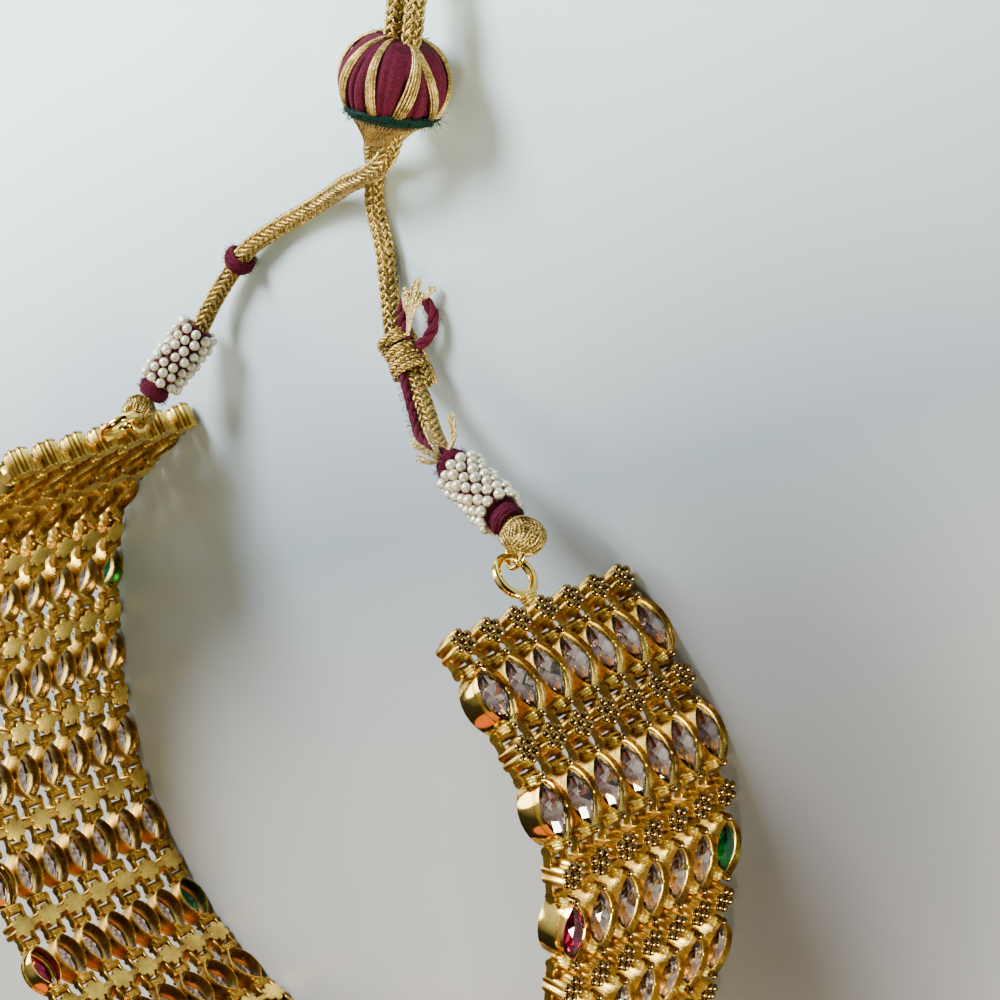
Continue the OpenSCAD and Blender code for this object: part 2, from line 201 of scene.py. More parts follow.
def struck_gold():
    material, tree, shader = new_finish("struck_gold", Metallic=0.88, Roughness=0.4)
    punched = local_place(tree, (3.6, 1.7, 3.6))
    pricks = add_node(tree, "TexVoronoi", {"Vector": punched}, Scale=1.0).outputs["Distance"]
    pits = ramp(tree, pricks, (0.1, (0.0, 0.0, 0.0)), (0.4, (1.0, 1.0, 1.0)))
    colour = ramp(tree, pricks, (0.05, (0.45, 0.29, 0.05)), (0.2, (1.0, 0.83, 0.20)))
    tree.links.new(painted_shade_behind(tree, colour, 0.1), shader.inputs["Base Color"])
    bump(tree, shader, pits, 1.0, 0.3)
    return material


# Dark gold: toned plating on the granules and knobs, and painted shade on the settings' inner walls.
def dark_gold():
    material, tree, shader = new_finish(
        "dark_gold", Metallic=1.0, Roughness=0.2, Coat_Weight=0.3, Coat_Roughness=0.08
    )
    cloud = soft_noise(tree, 1.1, 2.0)
    colour_by(tree, shader, cloud, (0.35, (0.12, 0.062, 0.013)), (0.7, (0.36, 0.215, 0.05)))
    return material


def polished_gold():
    material, tree, shader = new_finish("polished_gold", Metallic=1.0, Roughness=0.1)
    cloud = soft_noise(tree, 0.8, 4.0)
    colour_by(tree, shader, cloud, (0.3, (0.82, 0.55, 0.11)), (0.7, (0.97, 0.74, 0.18)))
    bump(tree, shader, cloud, 0.15, 0.05)
    return material


BRUSHED = brushed_gold()
STRUCK = struck_gold()
DARK_GOLD = dark_gold()
POLISHED = polished_gold()
GOLD = (BRUSHED, STRUCK, DARK_GOLD, POLISHED)
print("gold finishes:", [finish.name for finish in GOLD])

# %% [markdown]
# ## Making pieces
# All shapes are modelled in millimetres and shrunk to metres at the end. A master mesh, such as one
# setting, is made once and stamped along the band. It remembers each point's own place in an
# attribute, so that tool marks follow it.

# %% Helpers for pieces
MM = 0.001
# Both sources of chance are seeded, so that each run gives the same pieces.
SEED = 4
random.seed(SEED)
noise.seed_set(SEED)


def to_mesh(name, bm, sharp=40):
    """A finished mesh from bm, smooth except at edges sharper than an angle in degrees."""
    bmesh.ops.remove_doubles(bm, verts=bm.verts, dist=0.001)
    bmesh.ops.recalc_face_normals(bm, faces=bm.faces)
    mesh = bpy.data.meshes.new(name)
    bm.to_mesh(mesh)
    bm.free()
    mesh.shade_smooth()
    mesh.set_sharp_from_angle(angle=math.radians(sharp))
    return mesh


def master(name, bm, materials, sharp=40):
    """A mesh for stamping, with each point's own place kept in the attribute spot."""
    mesh = to_mesh(name, bm, sharp)
    spot = mesh.attributes.new("spot", "FLOAT_VECTOR", "POINT")
    spot.data.foreach_set("vector", [c for v in mesh.vertices for c in v.co])
    for material in materials:
        mesh.materials.append(material)
    return mesh


def new_object(name, mesh):
    made = bpy.data.objects.new(name, mesh)
    bpy.context.scene.collection.objects.link(made)
    return made


def join(name, objects):
    """One object from several."""
    with bpy.context.temp_override(active_object=objects[0], selected_editable_objects=objects):
        bpy.ops.object.join()
    objects[0].name = name
    objects[0].data.name = name
    return objects[0]


def stamp(name, copies):
    """One object from (master mesh, matrix) copies."""
    made = []
    for mesh, matrix in copies:
        moved = mesh.copy()
        moved.transform(matrix)
        made.append(new_object(name, moved))
    return join(name, made)


def finish_piece(piece, material, slot, *replaced):
    """Shrinks a piece from millimetres, gives it any material and fixes it to the necklace."""
    piece.data.transform(Matrix.Scale(MM, 4))
    if material:
        piece.data.materials.append(material)
    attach(piece, "root")
    if replaced:
        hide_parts(*replaced)
    return piece


print("one millimetre is", MM, "metres")

# %% [markdown]
# ## The line of the band
# The band is a chain of columns: a column of rosettes, a column of settings, and so on. Each column
# turns a little on the hinge to the next. The headings below are the directions of travel of the
# right half, and the left half mirrors them.

# %% Columns of the band
# Heading of each column of the right half in degrees, from the end rosette to the middle setting.
HEADINGS = (
    -40, -44, -46, -57, -80, -86, -91, -95, -101, -108,
    -116, -125, -134, -143, -151, -159, -165, -171, -176, -180,
)
MIDDLE = len(HEADINGS) - 1
STRIPS = 7
FIRST_STRIP = 2.15
STRIP_PITCH = 4.5
# From the middle of a setting or a rosette to its hinge, and how far back the hinge lies.
SETTING_REACH = 4.0
ROSETTE_REACH = 2.6
HINGE_BACK = 0.9
BAND_END = Vector((38.65, 41.5, 0))


def column_turn(heading):
    return Matrix.Rotation(math.radians(heading), 4, "Z")


def half_band():
    """Middle and heading of each column of the right half, from its end to the middle setting."""
    centre = BAND_END
    found = []
    for k, heading in enumerate(HEADINGS):
        reach = SETTING_REACH if k % 2 else ROSETTE_REACH
        turn = column_turn(heading)
        if k:
            centre = hinge + turn @ Vector((reach, HINGE_BACK, 0))
        hinge = centre + turn @ Vector((reach, -HINGE_BACK, 0))
        found.append((centre.copy(), heading))
    return found


def whole_band():
    """A matrix for each column, from the right end round to the left end."""
    right = half_band()
    right[-1] = (Vector((0, right[-1][0].y, 0)), right[-1][1])
    left = [
        (Vector((-centre.x, centre.y, 0)), -360 - heading)
        for centre, heading in reversed(right[:-1])
    ]
    return [Matrix.Translation(centre) @ column_turn(heading) for centre, heading in right + left]


def strip_height(strip):
    """Height of a strip's middle, where strip 1 is the top one."""
    return FIRST_STRIP + (STRIPS - strip) * STRIP_PITCH


COLUMNS = whole_band()
last_place = COLUMNS[-1].translation
print("columns:", len(COLUMNS), "and the last is at", [round(c, 2) for c in last_place])

# %% [markdown]
# ## One setting
# A setting is a marquise box of sheet gold with a ledge that the stone sits on. A circle is pressed
# to the marquise outline, then inset and pushed for the wall and the ledge, as a silversmith would
# solder a bezel on a seat. At each tip there is a ribbed neck, a toned knob in front, and behind it
# the eye of the hinge.

# %% Setting
SETTING_LENGTH = 7.4
SETTING_WIDTH = 4.3
# Radius of a marquise's two arcs, and how far each arc's centre lies beyond the middle.
ARC_RADIUS = (SETTING_LENGTH**2 + SETTING_WIDTH**2) / (4 * SETTING_WIDTH)
ARC_OFFSET = ARC_RADIUS - SETTING_WIDTH / 2
SETTING_FRONT = 1.5
WALL = 0.35
LEDGE = 0.2
LEDGE_DEPTH = 0.8


def marquise_point(turn, half_length, radius):
    """A point at a turn round a marquise that two arcs of this radius make."""
    across = half_length * math.cos(turn)
    rise = math.sqrt(max(radius**2 - across**2, 0)) - ARC_OFFSET
    return across, math.copysign(max(rise, 0), math.sin(turn))


def marquise_face(bm, corners, radius, depth):
    """A flat marquise that faces outward."""
    half_length = math.sqrt(radius**2 - ARC_OFFSET**2)
    made = bmesh.ops.create_circle(bm, cap_ends=True, segments=corners, radius=1)
    for v in made["verts"]:
        across, rise = marquise_point(math.atan2(v.co.y, v.co.x), half_length, radius)
        v.co = (across, depth, rise)
    return made["verts"][0].link_faces[0]


def push(bm, face, distance):
    """Extrudes a face along Y and returns the moved face."""
    made = bmesh.ops.extrude_discrete_faces(bm, faces=[face])["faces"][0]
    bmesh.ops.translate(bm, verts=made.verts, vec=(0, distance, 0))
    return made


def soften(bm, edges, width, segments=2):
    """Bevels edges, so that smooth shading rounds them."""
    bmesh.ops.bevel(
        bm, geom=edges, affect="EDGES", offset=width, segments=segments, profile=0.5, material=-1
    )


def rounded_block(bm, centre, size, edge):
    """A box with chamfered edges, which smooth shading rounds."""
    place = Matrix.Translation(centre) @ Matrix.Diagonal((*size, 1))
    made = bmesh.ops.create_cube(bm, size=1, matrix=place)
    soften(bm, list({e for v in made["verts"] for e in v.link_edges}), edge, 1)


def rod(bm, centre, radius, length, axis, sides=12):
    """A closed cylinder along X, Y or Z."""
    turns = {
        "X": Matrix.Rotation(math.pi / 2, 4, "Y"),
        "Y": Matrix.Rotation(-math.pi / 2, 4, "X"),
        "Z": Matrix(),
    }
    place = Matrix.Translation(centre) @ turns[axis]
    bmesh.ops.create_cone(
        bm, cap_ends=True, segments=sides, radius1=radius, radius2=radius, depth=length, matrix=place
    )


def granule(bm, centre, radius):
    """A small ball, with few faces because there are hundreds."""
    place = Matrix.Translation(centre)
    bmesh.ops.create_uvsphere(bm, u_segments=11, v_segments=6, radius=radius, matrix=place)


def paint(bm, finish):
    """Gives the faces that have no finish yet one of the gold finishes."""
    painted = bm.faces.layers.int.get("painted") or bm.faces.layers.int.new("painted")
    for face in bm.faces:
        if not face[painted]:
            face[painted] = 1
            face.material_index = GOLD.index(finish)


def setting_box(bm):
    """The open box with its ledge."""
    face = marquise_face(bm, 24, ARC_RADIUS, SETTING_FRONT)
    outline = list(face.edges)
    bmesh.ops.inset_individual(bm, faces=[face], thickness=WALL, use_even_offset=True)
    face = push(bm, face, -LEDGE_DEPTH)
    bmesh.ops.inset_individual(bm, faces=[face], thickness=LEDGE, use_even_offset=True)
    face = push(bm, face, METAL_BACK - SETTING_FRONT + LEDGE_DEPTH)
    inside = list(face.edges)
    bmesh.ops.delete(bm, geom=[face], context="FACES_ONLY")
    made = bmesh.ops.extrude_edge_only(bm, edges=outline)["geom"]
    behind = [v for v in made if isinstance(v, bmesh.types.BMVert)]
    bmesh.ops.translate(bm, verts=behind, vec=(0, METAL_BACK - SETTING_FRONT, 0))
    outside = [e for e in made if isinstance(e, bmesh.types.BMEdge)]
    bmesh.ops.bridge_loops(bm, edges=outside + inside)
    bmesh.ops.recalc_face_normals(bm, faces=bm.faces)
    soften(bm, [e for e in bm.edges if e.is_manifold and e.calc_face_angle() > 1.2], 0.09)


def shade_inside(bm):
    """Gives the faces between the rim and the ledge the dark finish, as painted shade where the
    stone's edge shades them.
    """
    for face in bm.faces:
        middle = face.calc_center_median()
        out = math.hypot(middle.x, abs(middle.z) + ARC_OFFSET)
        if out < ARC_RADIUS - 0.8 * WALL and middle.y > SETTING_FRONT - LEDGE_DEPTH - 0.1:
            face.material_index = GOLD.index(DARK_GOLD)


NECK_ALONG = 3.62
KNOB_ALONG = 3.85
EYE_RADIUS = 0.7
EYE_HEIGHT = 1.9


def make_setting(wall):
    """A setting whose outer wall has a finish."""
    bm = bmesh.new()
    setting_box(bm)
    paint(bm, wall)
    shade_inside(bm)
    for side in (-1, 1):
        rounded_block(bm, (side * NECK_ALONG, -0.4, 0), (0.9, 2.3, 1.3), 0.1)
        for along in (3.3, 3.64, 3.98):
            rounded_block(bm, (side * along, -0.35, 0), (0.27, 2.6, 1.55), 0.1)
        paint(bm, STRUCK)
        rod(bm, (side * KNOB_ALONG, 0.95, 0), 0.42, 1.2, "Y")
        granule(bm, (side * KNOB_ALONG, 1.55, 0), 0.48)
        paint(bm, DARK_GOLD)
        rod(bm, (side * SETTING_REACH, -HINGE_BACK, 0), EYE_RADIUS, EYE_HEIGHT, "Z")
        paint(bm, BRUSHED)
    return master("setting", bm, GOLD)


SETTING = make_setting(BRUSHED)
EDGE_SETTING = make_setting(POLISHED)
print("one setting has", len(SETTING.polygons), "faces")

# %% [markdown]
# ## One rosette
# Six rods stand round a solid middle, and a granule sits on the front of each and of the middle.
# The body's lobed outline comes from pressing a circle outward round each rod, and its front edge
# is rounded. The hinge ears at both sides hold a pin.

# %% Rosette
ROD_RADIUS = 0.6
ROD_PITCH = 1.14
GRANULE_RADIUS = 0.56
BODY_FRONT = 1.35
PIN_RADIUS = 0.3
EAR_THICKNESS = 0.45
EAR_GAP = 0.1


def lobe_radius(turn):
    """Distance from a rosette's middle to its lobed outline."""
    off_rod = (turn + math.pi / 6) % (math.pi / 3) - math.pi / 6
    across = ROD_PITCH * math.sin(off_rod)
    return ROD_PITCH * math.cos(off_rod) + math.sqrt(ROD_RADIUS**2 - across**2)


def rosette_body(bm):
    made = bmesh.ops.create_circle(bm, cap_ends=True, segments=48, radius=1)
    for v in made["verts"]:
        turn = math.atan2(v.co.y, v.co.x)
        v.co = (lobe_radius(turn) * math.cos(turn), BODY_FRONT, lobe_radius(turn) * math.sin(turn))
    face = made["verts"][0].link_faces[0]
    outline = list(face.edges)
    push(bm, face, METAL_BACK - BODY_FRONT)
    bmesh.ops.edgenet_fill(bm, edges=outline)
    bmesh.ops.recalc_face_normals(bm, faces=bm.faces)
    soften(bm, [e for e in bm.edges if e.is_manifold and e.calc_face_angle() > 1.4], 0.12)


def hinge_ears(bm, side):
    """Two ears that clasp a setting's eye, and the pin through all three."""
    for top in (-1, 1):
        height = top * (EYE_HEIGHT / 2 + EAR_GAP + EAR_THICKNESS / 2)
        rod(bm, (side * ROSETTE_REACH, -HINGE_BACK, height), EYE_RADIUS, EAR_THICKNESS, "Z")
        rounded_block(bm, (side * 1.45, -HINGE_BACK, height), (2.3, 1.1, 0.44), 0.08)
    rod(bm, (side * ROSETTE_REACH, -HINGE_BACK, 0), PIN_RADIUS, 2.9, "Z", 10)


def make_rosette(sides):
    """A rosette with hinge ears at one or both sides."""
    bm = bmesh.new()
    rosette_body(bm)
    paint(bm, BRUSHED)
    granule(bm, (0, BODY_FRONT + 0.12, 0), GRANULE_RADIUS)
    for sixth in range(6):
        turn = sixth * math.pi / 3
        around = (ROD_PITCH * math.cos(turn), BODY_FRONT, ROD_PITCH * math.sin(turn))
        granule(bm, around, GRANULE_RADIUS)
    paint(bm, DARK_GOLD)
    for side in sides:
        hinge_ears(bm, side)
    paint(bm, BRUSHED)
    return master("rosette", bm, GOLD)


ROSETTE = make_rosette((-1, 1))
print("one rosette has", len(ROSETTE.polygons), "faces")

# %% [markdown]
# ## The eye ring
# A ring of thick wire is soldered to the middle rosette at each end of the band. A circle of wire
# is spun round the ring's axis, which gives a seamless torus when the last step is merged with the
# first.

# %% Eye ring
RING_HEIGHT = strip_height((STRIPS + 1) // 2)
RING_RADIUS = 2.45
RING_WIRE = 0.55


def wire_ring(bm, centre, radius, wire, steps=48, sides=14):
    """A ring in the XZ plane."""
    place = Matrix.Translation(centre + Vector((radius, 0, 0)))
    profile = bmesh.ops.create_circle(bm, segments=sides, radius=wire, matrix=place)["verts"]
    edges = list({e for v in profile for e in v.link_edges})
    bmesh.ops.spin(
        bm, geom=profile + edges, cent=centre, axis=(0, 1, 0), angle=2 * math.pi, steps=steps,
        use_merge=True,
    )


def make_eye_ring(side):
    """The ring, its stem, and the three ribs at the stem's foot."""
    bm = bmesh.new()
    wire_ring(bm, Vector((side * 5.15, 0, 0)), RING_RADIUS, RING_WIRE)
    rod(bm, (side * 1.85, 0, 0), 0.7, 1.3, "X")
    paint(bm, POLISHED)
    for along in (1.75, 2.1, 2.45):
        rounded_block(bm, (side * along, 0, 0), (0.26, 1.7, 1.7), 0.1)
    paint(bm, STRUCK)
    return master("eye_ring", bm, GOLD)


def make_bar_link(size, centre):
    """The low bar or solder that joins a column's neighbours."""
    bm = bmesh.new()
    rounded_block(bm, centre, size, 0.1)
    paint(bm, BRUSHED)
    return master("link", bm, GOLD)


print("eye rings at", RING_HEIGHT, "mm, from wire", 2 * RING_WIRE, "mm thick")

# %% [markdown]
# ## The band
# Each column is one soldered bar in the real band, so each is one piece here: seven masters stamped
# up the column, and the small links between them.

# %% Stamp the columns
def lift(strip, extra=0.0):
    """Moves a master up to a strip."""
    return Matrix.Translation((0, 0, strip_height(strip) + extra))


def bar_copies(column, forms, link):
    """A form on each strip, top strip first, and a link between each strip and the next."""
    copies = [(form, column @ lift(strip)) for strip, form in enumerate(forms, 1)]
    links = [(link, column @ lift(strip, -STRIP_PITCH / 2)) for strip in range(1, STRIPS)]
    return copies + links


def stamp_settings():
    link = make_bar_link((0.8, 2.4, 0.6), (0, 0, 0))
    forms = [EDGE_SETTING] + [SETTING] * (STRIPS - 1)
    for number, column in enumerate(COLUMNS[1::2], 1):
        piece = stamp(f"settings_{number:02d}", bar_copies(column, forms, link))
        finish_piece(piece, None, "gold_setting", f"marquise_bar_{number:02d}")


def stamp_rosettes():
    """The rosette bars, of which the first and last have hinge ears on one side and an eye ring."""
    link = make_bar_link((0.9, 1.3, 2.0), (0, METAL_BACK + 0.75, 0))
    columns = COLUMNS[::2]
    inward = {1: 1, len(columns): -1}
    for number, column in enumerate(columns, 1):
        side = inward.get(number)
        form = make_rosette((side,)) if side else ROSETTE
        copies = bar_copies(column, [form] * STRIPS, link)
        if side:
            place = column @ Matrix.Translation((0, 0, RING_HEIGHT))
            copies.append((make_eye_ring(-side), place))
        piece = stamp(f"rosettes_{number:02d}", copies)
        finish_piece(piece, None, "gold_rosette", f"rosette_bar_{number:02d}")


stamp_settings()
stamp_rosettes()
print("gold bars:", len(COLUMNS))

# %% [markdown]
# ## The stones
# A cut stone is a closed shape with flat facets. Rings of points are laid at the table, the crown,
# the girdle and the pavilion, and the convex hull operator stretches facets over them, as a cutter
# takes everything outside them away.

# %% Stones
STONE_PLAY = 0.06
STONE_ARC = ARC_RADIUS - WALL - STONE_PLAY
STONE_LENGTH = math.sqrt(STONE_ARC**2 - ARC_OFFSET**2)
# Depth, size, number of corners and turn of each ring of facets, table first.
STONE_RINGS = (
    (1.78, 0.52, 8, 0.0),
    (1.45, 0.80, 8, 0.5),
    (1.06, 0.995, 16, 0.0),
    (0.90, 0.995, 16, 0.0),
    (0.15, 0.62, 8, 0.5),
    (-0.75, 0.12, 4, 0.0),
)


def make_stone():
    bm = bmesh.new()
    for depth, size, corners, shift in STONE_RINGS:
        made = bmesh.ops.create_circle(bm, segments=corners, radius=1)
        for v in made["verts"]:
            turn = math.atan2(v.co.y, v.co.x) + shift * 2 * math.pi / corners
            across, rise = marquise_point(turn, STONE_LENGTH, STONE_ARC)
            v.co = (size * across, depth, size * rise)
    bmesh.ops.delete(bm, geom=bm.edges, context="EDGES_FACES")
    bmesh.ops.convex_hull(bm, input=bm.verts)
    # Each facet's tone is painted reflection and shade: deeper toward the girdle, with a random share.
    tone = bm.faces.layers.float.new("tone")
    for face in bm.faces:
        middle = face.calc_center_median()
        outward = math.hypot(middle.x / 3.5, middle.z / 1.9)
        face[tone] = 1.2 * outward - 0.08 + random.uniform(-0.35, 0.35)
    return master("stone", bm, (), sharp=3)


def glass(name, pale, deep):
    """Cut glass whose facets carry painted reflection and shade in their colour, deepest at the outer
    ones.
    """
    material, tree, shader = new_finish(name, Roughness=0.02, IOR=1.62, Transmission_Weight=1.0)
    tone = add_node(tree, "Attribute", attribute_name="tone").outputs["Fac"]
    half = tuple(math.sqrt(a * b) for a, b in zip(pale, deep))
    colour_by(tree, shader, tone, (0.05, pale), (0.4, half), (0.9, deep))
    return material


STONE = make_stone()
# Settings, counted from the right end, with a ruby in the top strip and an emerald in the bottom one.
COLOURED = (3, 7, 10, 13, 17)
CHAMPAGNE = glass("champagne_stone", (0.95, 0.91, 0.85), (0.13, 0.07, 0.06))
RUBY = glass("ruby_stone", (0.34, 0.006, 0.10), (0.10, 0.0, 0.03))
EMERALD = glass("emerald_stone", (0.01, 0.27, 0.14), (0.0, 0.06, 0.03))


def stone_places(wanted):
    """Matrices of the stones whose setting and strip are wanted."""
    return [
        COLUMNS[2 * setting - 1] @ lift(strip)
        for setting in range(1, MIDDLE + 1)
        for strip in range(1, STRIPS + 1)
        if wanted(setting, strip)
    ]


def set_stones(name, finish, slot, wanted):
    piece = stamp("cut_" + name, [(STONE, place) for place in stone_places(wanted)])
    finish_piece(piece, finish, slot, name)
    print(name, "facets:", len(piece.data.polygons))


def is_ruby(setting, strip):
    return setting in COLOURED and strip == 1


def is_emerald(setting, strip):
    return setting in COLOURED and strip == STRIPS


def is_clear(setting, strip):
    return not is_ruby(setting, strip) and not is_emerald(setting, strip)


set_stones("clear_stones", CHAMPAGNE, "champagne_stone", is_clear)
set_stones("ruby_stones", RUBY, "ruby_stone", is_ruby)
set_stones("emerald_stones", EMERALD, "emerald_stone", is_emerald)

# %% [markdown]
# ## The cords
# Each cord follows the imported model's route, from its thread ball through the slider bead to the
# knot at the far end. The routes are lists of points in millimetres. Both cords run straight and
# side by side through the bead.

# %% Routes of the cords
BALL_RIGHT = Vector((34.04, 48.92, 13.70))
BALL_LEFT = Vector((-36.94, 44.90, 10.89))
WAY_RIGHT = Vector((-0.943, 0.239, -0.231)).normalized()
WAY_LEFT = Vector((0.323, 0.812, -0.489)).normalized()
BEAD_CENTRE = Vector((5.1, 95.0, 6.75))
BEAD_ALONG = Vector((math.cos(math.radians(78)), math.sin(math.radians(78)), 0))
BEAD_SIDE = Vector((BEAD_ALONG.y, -BEAD_ALONG.x, 0))
CORD_SIDE = 1.45
BEAD_STRAIGHT = 6.2

RIGHT_ROUTE = (
    [BALL_RIGHT + away * WAY_RIGHT for away in (2.35, 3.5, 9.4, 15.3, 17.0)]
    + [(14.6, 54.1, 8.2), (10.8, 56.3, 6.0), (6.2, 59.2, 3.8), (2.4, 62.9, 2.9), (0.5, 66.8, 1.9)]
    + [(-1.1, 72.8, 1.4), (-3.0, 78.4, 1.4), (-2.6, 82.4, 1.8), (-0.4, 86.0, 4.4)]
    + [BEAD_CENTRE + end * BEAD_STRAIGHT * BEAD_ALONG - CORD_SIDE * BEAD_SIDE for end in (-1, 1)]
    + [(4.7, 105.2, 6.0), (4.5, 109.5, 3.9), (4.5, 114.0, 2.0), (4.5, 118.0, 3.0), (4.5, 123.0, 3.0)]
)
LEFT_ROUTE = (
    [BALL_LEFT + away * WAY_LEFT for away in (2.35, 3.5, 9.4, 14.6)]
    + [(-31.9, 58.0, 3.3), (-28.0, 64.6, 2.3), (-25.2, 68.0, 2.2), (-21.3, 71.1, 1.5)]
    + [(-16.3, 74.2, 1.4), (-10.0, 77.9, 2.3), (-4.2, 81.0, 4.7), (1.2, 83.6, 6.3), (4.2, 86.0, 6.8)]
    + [BEAD_CENTRE + end * BEAD_STRAIGHT * BEAD_ALONG + CORD_SIDE * BEAD_SIDE for end in (-1, 1)]
    + [(7.6, 105.0, 6.0), (7.4, 109.5, 3.9), (7.4, 114.0, 2.0), (7.4, 118.0, 3.0), (7.4, 123.0, 3.0)]
)
RIGHT_ROUTE = [Vector(point) for point in RIGHT_ROUTE]
LEFT_ROUTE = [Vector(point) for point in LEFT_ROUTE]
print("points in the routes:", len(RIGHT_ROUTE), len(LEFT_ROUTE))

# %% [markdown]
# ## Lines and threads
# Zari braid is metallic threads that cross two over and two under round a core. Every thread is a
# line that winds round the cord's route while its distance from the middle swells and shrinks, and
# a curve with a round bevel gives it its body. Plied yarn is simpler: its threads only wind.

# %% Lines and threads
def smooth_line(route, step):
    """Even points, about step apart, on one smooth curve through a route."""
    gaps = [(b - a).length for a, b in zip(route, route[1:])]
    ways = [(b - a) / gap for a, b, gap in zip(route, route[1:], gaps)]
    slopes = [ways[0]]
    for i in range(1, len(gaps)):
        slopes.append((ways[i - 1] * gaps[i] + ways[i] * gaps[i - 1]) / (gaps[i] + gaps[i - 1]))
    slopes.append(ways[-1])
    fine = []
    for i, gap in enumerate(gaps):
        for s in range(40):
            t = s / 40
            fine.append(
                (2 * t**3 - 3 * t**2 + 1) * route[i]
                + (t**3 - 2 * t**2 + t) * gap * slopes[i]
                + (3 * t**2 - 2 * t**3) * route[i + 1]
                + (t**3 - t**2) * gap * slopes[i + 1]
            )
    fine.append(route[-1])
    return even_line(fine, step)


def even_line(points, step):
    """Points at even distances along a line."""
    lengths = [0.0]
    for a, b in zip(points, points[1:]):
        lengths.append(lengths[-1] + (b - a).length)
    count = max(2, round(lengths[-1] / step))
    found = []
    i = 0
    for n in range(count + 1):
        target = lengths[-1] * n / count
        while i < len(points) - 2 and lengths[i + 1] < target:
            i += 1
        share = (target - lengths[i]) / max(lengths[i + 1] - lengths[i], 1e-9)
        found.append(points[i].lerp(points[i + 1], min(share, 1)))
    return found


def carried_frames(line):
    """Each point of a line with two directions across it, turned as little as can be."""
    side = Vector((0, 0, 1)).cross(line[1] - line[0]).normalized()
    found = []
    for i, point in enumerate(line):
        way = (line[min(i + 1, len(line) - 1)] - line[max(i - 1, 0)]).normalized()
        side = (side - side.dot(way) * way).normalized()
        found.append((point, side, way.cross(side)))
    return found


def braid(line, middle, rise, pitch, count):
    """Threads of a braid round a line, count each way, two over and two under."""
    frames = carried_frames(line)
    step = (line[1] - line[0]).length
    threads = []
    for turning in (1, -1):
        for i in range(count):
            thread = []
            for j, (point, side, up) in enumerate(frames):
                share = j * step / pitch
                turn = 2 * math.pi * (turning * share + i / count)
                over = turning * math.cos((2 * i + turning * 2 * count * share - 0.5) * math.pi / 2)
                radius = middle + rise * max(-1.0, min(1.0, 1.4 * over))
                thread.append(point + radius * (math.cos(turn) * side + math.sin(turn) * up))
            threads.append(thread)
    return threads


def plied(line, radius, pitch, count):
    """Threads twisted together round a line."""
    step = (line[1] - line[0]).length
    found = []
    for i in range(count):
        thread = []
        for j, (point, side, up) in enumerate(carried_frames(line)):
            turn = 2 * math.pi * (j * step / pitch + i / count)
            thread.append(point + radius * (math.cos(turn) * side + math.sin(turn) * up))
        found.append(thread)
    return found


def thread_object(name, lines, radius, sides=6):
    """Round threads along lines of points, as one mesh object."""
    curve = bpy.data.curves.new(name, "CURVE")
    curve.dimensions = "3D"
    curve.bevel_depth = radius
    curve.bevel_resolution = sides // 2 - 2
    curve.use_fill_caps = True
    for line in lines:
        spline = curve.splines.new("POLY")
        spline.points.add(len(line) - 1)
        spline.points.foreach_set("co", [c for point in line for c in (*point, 1)])
    drawn = new_object(name, curve)
    shape = bpy.data.meshes.new_from_object(drawn.evaluated_get(bpy.context.evaluated_depsgraph_get()))
    bpy.data.objects.remove(drawn)
    shape.shade_smooth()
    return new_object(name, shape)


print("right route in steps of a millimetre:", len(smooth_line(RIGHT_ROUTE, 1.0)), "points")

# %% [markdown]
# ## Thread finishes
# Zari is a flat metal strip wound on a thread. Its glitter is painted into its colour: fine dashes
# from noise about a seventh of a millimetre fine, some bright as painted glints and some nearly black
# as painted shade. Silk is matt and deep, with a soft sheen at its edges. A seed pearl reflects softly
# under a clear coat, and lets a little light in.

# %% Zari, silk and pearl
def zari(name, dark, bright):
    """Metal thread whose colour holds painted glints and shade, in dashes between two colours."""
    material, tree, shader = new_finish(name, Metallic=0.85, Roughness=0.34)
    dashes = soft_noise(tree, 7.0, 3.0)
    cloud = soft_noise(tree, 1.3, 2.0)
    mixed = add_node(tree, "Math", {0: cloud, 2: dashes}, operation="MULTIPLY_ADD")
    mixed.inputs[1].default_value = 0.4
    middle = tuple(0.4 * (a + b) for a, b in zip(dark, bright))
    colour_by(tree, shader, mixed.outputs["Value"], (0.58, dark), (0.70, middle), (0.84, bright))
    bump(tree, shader, dashes, 0.7, 0.08)
    return material


def silk(name, dark, bright):
    """Matt thread with a faint sheen of its bright colour."""
    material, tree, shader = new_finish(
        name, Roughness=0.85, Sheen_Weight=0.05, Sheen_Roughness=0.4, Specular_IOR_Level=0.2
    )
    shader.inputs["Sheen Tint"].default_value = (*bright, 1)
    fibres = soft_noise(tree, 4.5, 5.0)
    colour_by(tree, shader, fibres, (0.35, dark), (0.68, bright))
    bump(tree, shader, fibres, 0.8, 0.12)
    return material


def pearl():
    material, tree, shader = new_finish(
        "seed_pearl", Metallic=0.35, Roughness=0.27, Coat_Weight=1.0, Coat_IOR=1.9,
        Subsurface_Weight=0.15, Subsurface_Radius=(0.0006, 0.0004, 0.0003),
    )
    cloud = soft_noise(tree, 0.6, 2.0)
    colour_by(tree, shader, cloud, (0.35, (0.52, 0.46, 0.31)), (0.65, (0.73, 0.67, 0.50)))
    return material


ZARI = zari("zari_braid", (0.045, 0.025, 0.006), (0.76, 0.51, 0.13))
ZARI_BRIGHT = zari("zari_bundle", (0.14, 0.08, 0.012), (0.90, 0.61, 0.17))
ZARI_PALE = zari("zari_frayed", (0.40, 0.26, 0.08), (1.0, 0.86, 0.46))
MAROON = silk("maroon_silk", (0.028, 0.0, 0.006), (0.105, 0.001, 0.019))
GREEN = silk("green_silk", (0.0, 0.005, 0.004), (0.0, 0.032, 0.017))
PEARL = pearl()
print("thread finishes:", [made.name for made in (ZARI, ZARI_BRIGHT, ZARI_PALE, MAROON, GREEN)])

